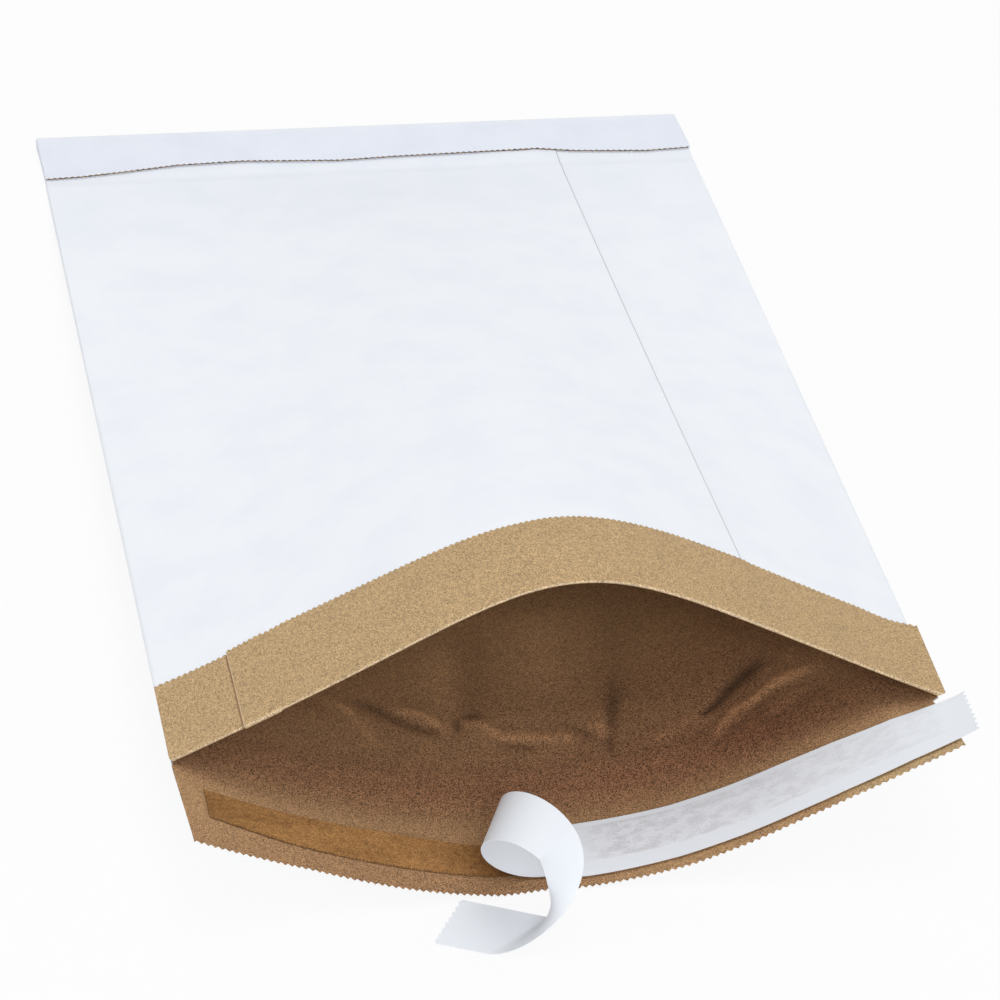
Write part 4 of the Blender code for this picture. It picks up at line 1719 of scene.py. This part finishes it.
@dataclass
class AdhesiveStrip:
    """The amber band across the inside of the lip."""

    form: EnvelopeForm
    finish: HotMelt = HotMelt()
    breadth: float = 15.5 * MM
    left: float = 7.0 * MM
    right: float = 5.0 * MM
    thick: float = 0.2 * MM
    cells: int = 160
    strands: int = 10
    wobble: float = 0.12 * MM
    wobble_turn: float = 1.7
    # Painted shadow beside the liner's curl, and darkening toward the band's left end: strength, middle and
    # reach of each
    curl_shadow: tuple[float, float, float] = (1.2, 0.47, 0.08)
    left_tone: tuple[float, float, float] = (0.35, 0.0, 0.12)

    def build(self) -> bpy.types.Object:
        """Lay the band along the lip's lining.

        Returns:
            The finished piece.
        """
        s = self.form.sizes
        thing, column, row = Workshop.grid("adhesive_band", self.cells + 1, self.strands + 1)
        far_side = s.width - 2 * s.lip_inset - self.right
        metres = blend(self.left, far_side, column / self.cells)
        across = (s.lip_inset + metres) / s.width
        start = read_table(ADHESIVE_START, across, MM)
        past = blend(start, read_table(ADHESIVE_END, across, MM), row / self.strands)
        edge = (row == 0) | (row == self.strands)
        past = past + np.where(edge, self.wobble * np.sin(column * self.wobble_turn), 0.0)
        height = 2 * s.gap + self.thick / 2
        Workshop.place(thing, self.form.lip_point(across, past, height))
        Workshop.write_uv(thing, metres, self.breadth * row / self.strands)
        # Paint the shadow by the curl, and the darkening toward the left end
        dark = np.zeros(across.shape)
        for most, middle, reach in (self.curl_shadow, self.left_tone):
            dark += most * np.exp(-(((across - middle) / reach) ** 2))
        Workshop.write_value(thing, "tone", dark)
        Workshop.thicken(thing, self.thick)
        ride_as(thing, "adhesive_strip", self.finish.make(self.breadth))
        return thing


class Run(Enum):
    """The runs of the release liner, from its right end onward."""

    STRIP = 0
    SWING = 1
    TAIL = 2


@dataclass(frozen=True)
class Roll:
    """The roll of the peeled liner: its crease left of the bag's middle, skew, radius and turn."""

    at: float = 5.28 * MM
    skew: float = 0.449
    radius: float = 17.53 * MM
    turn: float = 3.381

    @property
    def end(self) -> float:
        """Where along the flat strip the roll ends."""
        return -self.at - self.radius * self.turn / math.cos(self.skew)

    def bend(self, flat: Array, middle_y: float) -> Array:
        """Roll a strip that runs toward -X upward past the crease.

        Args:
            flat: points of the flat strip, x and y.
            middle_y: the strip's middle.

        Returns:
            The points, rolled.
        """
        ahead = np.array([-math.cos(self.skew), math.sin(self.skew)])
        sideways = np.array([math.sin(self.skew), math.cos(self.skew)])
        middle = np.array([-self.at, middle_y])
        past = (flat - middle) @ ahead
        aside = (flat - middle) @ sideways
        angle = np.maximum(past, 0.0) / self.radius
        forward = np.where(past > 0, self.radius * np.sin(angle), past)
        place = middle + forward[:, None] * ahead + aside[:, None] * sideways
        return np.column_stack([place, self.radius * (1 - np.cos(angle))])

    def leaving(self) -> Array:
        """Direction in which the strip leaves the roll.

        Returns:
            The direction, of length 1.
        """
        run, drift = math.cos(self.skew), math.sin(self.skew)
        back = run * math.cos(self.turn)
        return np.array([-back * run - drift * drift, back * drift - drift * run, run * math.sin(self.turn)])


@dataclass(frozen=True)
class Tail:
    """The liner's flat end on the floor, and how far its two edges swing on their way there."""

    x: float = -11.5 * MM
    past_mouth: float = 48.0 * MM
    angle: float = 0.394
    length: float = 31.5 * MM
    slant: float = 15.4 * MM
    end_cut: float = 4.2 * MM
    clearance: float = 0.15 * MM
    inner_swing: tuple[float, float] = (0.5 * MM, 12.6 * MM)
    outer_swing: tuple[float, float] = (89.5 * MM, 45.5 * MM)

    def ahead(self) -> Array:
        """Direction toward the tail's end."""
        return np.array([-math.cos(self.angle), math.sin(self.angle), 0.0])

    def aside(self) -> Array:
        """Direction from its edge by the lip toward its other edge."""
        return np.array([-math.sin(self.angle), -math.cos(self.angle), 0.0])


@dataclass
class ReleaseLiner:
    """The release liner: stuck to the right half of the lip, rolled over and down to the floor."""

    form: EnvelopeForm
    finish: LinerPaper = LinerPaper()
    breadth: float = 24.0 * MM
    start: float = 8.8 * MM
    overhang: float = 6.0 * MM
    end_slant: float = 2.5 * MM
    thick: float = 0.2 * MM
    tuck: float = 0.87
    ease: float = 12.0 * MM
    height: float = 1.0 * MM
    swing_length: float = 50.0 * MM
    strands: int = 16
    strip_step: float = 3.0 * MM
    roll_step: float = 1.2 * MM
    end_row: float = 0.2 * MM
    slant_rows: int = 8
    swing_rows: int = 40
    tail_shares: tuple[float, ...] = (0.2, 0.4, 0.6, 0.8, 0.97, 1.0)
    stuck_from: float = 4.0 * MM
    stuck_ease: float = 10.0 * MM
    bare_end: float = 3.0 * MM
    stuck_fade: tuple[float, float] = (1.1, 150.0 * MM)
    roll: Roll = Roll()
    tail: Tail = Tail()

    def stuck_point(self, x: Array, across: Array) -> Array:
        """Place points of the part that still sticks to the lip.

        Args:
            x: distances from the bag's middle.
            across: distances from its edge by the mouth.

        Returns:
            The points.
        """
        s = self.form.sizes
        share = (x + s.width / 2 - s.left_pull) / (s.width - s.left_pull - s.right_pull)
        return self.form.lip_point(share, self.start + across, self.height)

    def row_points(self, run: Run, amount: Array, across: Array) -> Array:
        """Place one row across the liner.

        Args:
            run: the run that it lies on.
            amount: distances along the flat strip, or shares of a later run.
            across: distances from its edge by the mouth.

        Returns:
            The points.
        """
        s = self.form.sizes
        middle_y = s.far_y - s.length - self.start - self.breadth / 2
        peel = self.ease - self.roll.at
        x = amount if run is Run.STRIP else np.full(across.shape, self.roll.end)
        peeled = np.clip((peel - x) / self.ease, 0, 1)
        width = self.breadth * blend(1.0, self.tuck, peeled)
        aside = width * (0.5 - across / self.breadth)
        skewed = np.clip((peel - x) / (peel - self.roll.end), 0, 1)
        flat = np.column_stack([x + aside * math.tan(self.roll.skew) * skewed, middle_y + aside])
        rolled = self.roll.bend(flat, middle_y)
        rolled[:, 2] += s.inner_mid + s.ply / 2 + self.height
        if run is Run.STRIP:
            return mix_points(self.stuck_point(x, across), rolled, peeled)
        tail = self.tail
        outer = 1 - across / self.breadth
        corner = np.array([tail.x, s.far_y - s.length - tail.past_mouth, tail.clearance + self.thick / 2])
        start = corner + np.outer(tail.slant * outer, tail.ahead()) + np.outer(width * outer, tail.aside())
        if run is Run.TAIL:
            run_left = tail.length - blend(tail.end_cut, tail.slant, outer)
            return start + np.outer(run_left * amount, tail.ahead())
        square, cube = amount**2, amount**3
        leave = blend(tail.inner_swing[0], tail.outer_swing[0], outer) * (cube - 2 * square + amount)
        arrive = blend(tail.inner_swing[1], tail.outer_swing[1], outer) * (cube - square)
        swung = mix_points(rolled, start, 3 * square - 2 * cube)
        return swung + np.outer(leave, self.roll.leaving()) + np.outer(arrive, tail.ahead())

    def rows(self) -> list[tuple[Run, float]]:
        """List the rows from the right end to the tail's end.

        Returns:
            Each row's run, and its amount on it.
        """
        s = self.form.sizes
        right = s.width / 2 - s.right_pull + self.overhang
        peel = self.ease - self.roll.at
        first = right - s.tooth_depth - self.end_row
        strip = [right, first, *spaced(right - self.strip_step, peel, self.strip_step)]
        strip += [*spaced(peel, self.roll.end, self.roll_step), self.roll.end]
        rows = [(Run.STRIP, x) for x in strip]
        rows += [(Run.SWING, step / self.swing_rows) for step in range(1, self.swing_rows + 1)]
        return rows + [(Run.TAIL, share) for share in self.tail_shares]

    def build(self) -> bpy.types.Object:
        """Roll the strip and dress it.

        Returns:
            The finished piece.
        """
        s = self.form.sizes
        rows = self.rows()
        strands = np.arange(self.strands + 1)
        edge = self.breadth * strands / self.strands
        teeth = (strands % 2) * s.tooth_depth
        points = []
        for index, (run, amount) in enumerate(rows):
            cut = -teeth if index == 0 else 0.0
            cut = cut - self.end_slant * edge / self.breadth * max(0.0, 1 - index / self.slant_rows)
            if index == len(rows) - 1:
                cut = teeth / self.tail.length
            points.append(self.row_points(run, amount + cut + np.zeros(edge.shape), edge))
        thing, column, row = Workshop.grid("release_liner_paper", len(strands), len(rows))
        Workshop.place(thing, np.stack(points)[row, column])
        after = {Run.STRIP: 0.0, Run.SWING: self.roll.end, Run.TAIL: self.roll.end - self.swing_length}
        scale = {Run.STRIP: 1.0, Run.SWING: -self.swing_length, Run.TAIL: -self.tail.length}
        x = np.array([after[run] + scale[run] * amount for run, amount in rows])[row]
        Workshop.write_uv(thing, x, edge[column])
        held = ramp(x, self.stuck_from, self.stuck_ease)
        held = held * ramp(s.width / 2 - s.right_pull - self.bare_end - x, 0, self.bare_end)
        level, fade = self.stuck_fade
        held = held * np.clip(level - x / fade, 0, 1)
        Workshop.write_value(thing, "stuck", held)
        Workshop.thicken(thing, self.thick)
        ride_as(thing, "release_liner", self.finish.make())
        return thing


@dataclass
class Studio:
    """The pale floor, the soft light and the camera."""

    eye: tuple[float, float, float] = (-229.9 * MM, -1032.7 * MM, 794.9 * MM)
    look: tuple[float, float, float] = (0.1872, 0.7666, -0.6142)
    roll: float = 5.182
    focal_pixels: float = 3598.0
    frame_pixels: float = 1000.0
    sensor: float = 36.0
    floor_size: float = 14.0
    floor_drop: float = 0.1 * MM
    floor_grey: float = 0.9
    floor_white: float = 0.87
    ambient: float = 0.618
    ambient_tint: Colour = (0.972, 0.982, 1.0)
    sight: float = 60.0
    key_power: float = 9.0
    key_size: float = 1.4
    key_place: tuple[float, float, float] = (0.12, 0.15, 1.8)
    fill_power: float = 13.0
    fill_size: float = 0.8
    fill_place: tuple[float, float, float] = (-0.15, -1.9, 1.4)

    def camera(self) -> None:
        """Set the camera where the photograph was taken from."""
        ahead = Vector(self.look).normalized()
        right = ahead.cross(Vector((0, 0, 1))).normalized()
        up = right.cross(ahead)
        turn = math.radians(self.roll)
        image_right = right * math.cos(turn) + up * math.sin(turn)
        image_up = up * math.cos(turn) - right * math.sin(turn)
        bpy.ops.object.camera_add()
        camera = bpy.context.active_object
        axes = Matrix((image_right, image_up, -ahead)).transposed().to_4x4()
        camera.matrix_world = Matrix.Translation(self.eye) @ axes
        camera.data.sensor_width = self.sensor
        camera.data.lens = self.focal_pixels / self.frame_pixels * self.sensor
        camera.data.clip_end = self.sight
        bpy.context.scene.camera = camera

    def floor(self) -> None:
        """Lay the floor: white to the camera, with the object's shadow kept."""
        bpy.ops.object.select_all(action="DESELECT")
        bpy.ops.mesh.primitive_plane_add(size=self.floor_size, location=(0, 0, 0))
        floor = bpy.context.active_object
        floor.name = "floor"
        points = np.empty(len(floor.data.vertices) * 3)
        floor.data.vertices.foreach_get("co", points)
        points[2::3] = -self.floor_drop
        floor.data.vertices.foreach_set("co", points)
        graph = Graph.material("floor_white")
        seen = graph.add("ShaderNodeLightPath").out("Is Camera Ray")
        grey = (self.floor_grey, self.floor_grey, self.floor_grey, 1.0)
        diffuse = graph.add("ShaderNodeBsdfDiffuse", {}, {"Color": grey}).out()
        white = graph.add("ShaderNodeEmission", {}, {"Strength": 1.0}).out()
        inputs = {0: seen * self.floor_white, 1: diffuse, 2: white}
        shader = graph.add("ShaderNodeMixShader", {}, inputs).out()
        graph.add("ShaderNodeOutputMaterial", {}, {"Surface": shader})
        floor.data.materials.append(graph.owner)

    def lamp(self, name: str, place: tuple[float, float, float], power: float, size: float) -> None:
        """Hang one square soft lamp that faces the envelope.

        Args:
            name: the lamp's name.
            place: where it hangs.
            power: its power in watts.
            size: its side.
        """
        bpy.ops.object.light_add(type="AREA", location=place)
        lamp = bpy.context.active_object
        lamp.name = name
        lamp.data.energy = power
        lamp.data.size = size
        lamp.rotation_euler = (-Vector(place)).to_track_quat("-Z", "Y").to_euler()

    def light(self) -> None:
        """Light the scene evenly, with a soft key overhead and a fill from the front."""
        graph = Graph(bpy.data.worlds.new("studio"))
        seen = graph.add("ShaderNodeLightPath").out("Is Camera Ray")
        inputs = {"Color": (*self.ambient_tint, 1.0), "Strength": self.ambient}
        even = graph.add("ShaderNodeBackground", {}, inputs).out()
        white = graph.add("ShaderNodeBackground", {}, {"Color": (1.0, 1.0, 1.0, 1.0)}).out()
        shader = graph.add("ShaderNodeMixShader", {}, {0: seen, 1: even, 2: white}).out()
        graph.add("ShaderNodeOutputWorld", {}, {"Surface": shader})
        bpy.context.scene.world = graph.owner
        self.lamp("key", self.key_place, self.key_power, self.key_size)
        self.lamp("fill", self.fill_place, self.fill_power, self.fill_size)
        bpy.context.scene.view_settings.view_transform = "Standard"


def main() -> None:
    """Build the envelope, its pieces in order from outside to inside, and the studio."""
    logging.basicConfig(level=logging.INFO, format="%(message)s")
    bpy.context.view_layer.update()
    studio = Studio()
    studio.camera()
    form = EnvelopeForm(Sizes())
    for maker in (OuterBag, InnerBag, Padding, AdhesiveStrip, ReleaseLiner):
        piece = maker(form).build()
        LOG.info("finished %s", piece.name)
    studio.floor()
    studio.light()


if __name__ == "__main__":
    main()
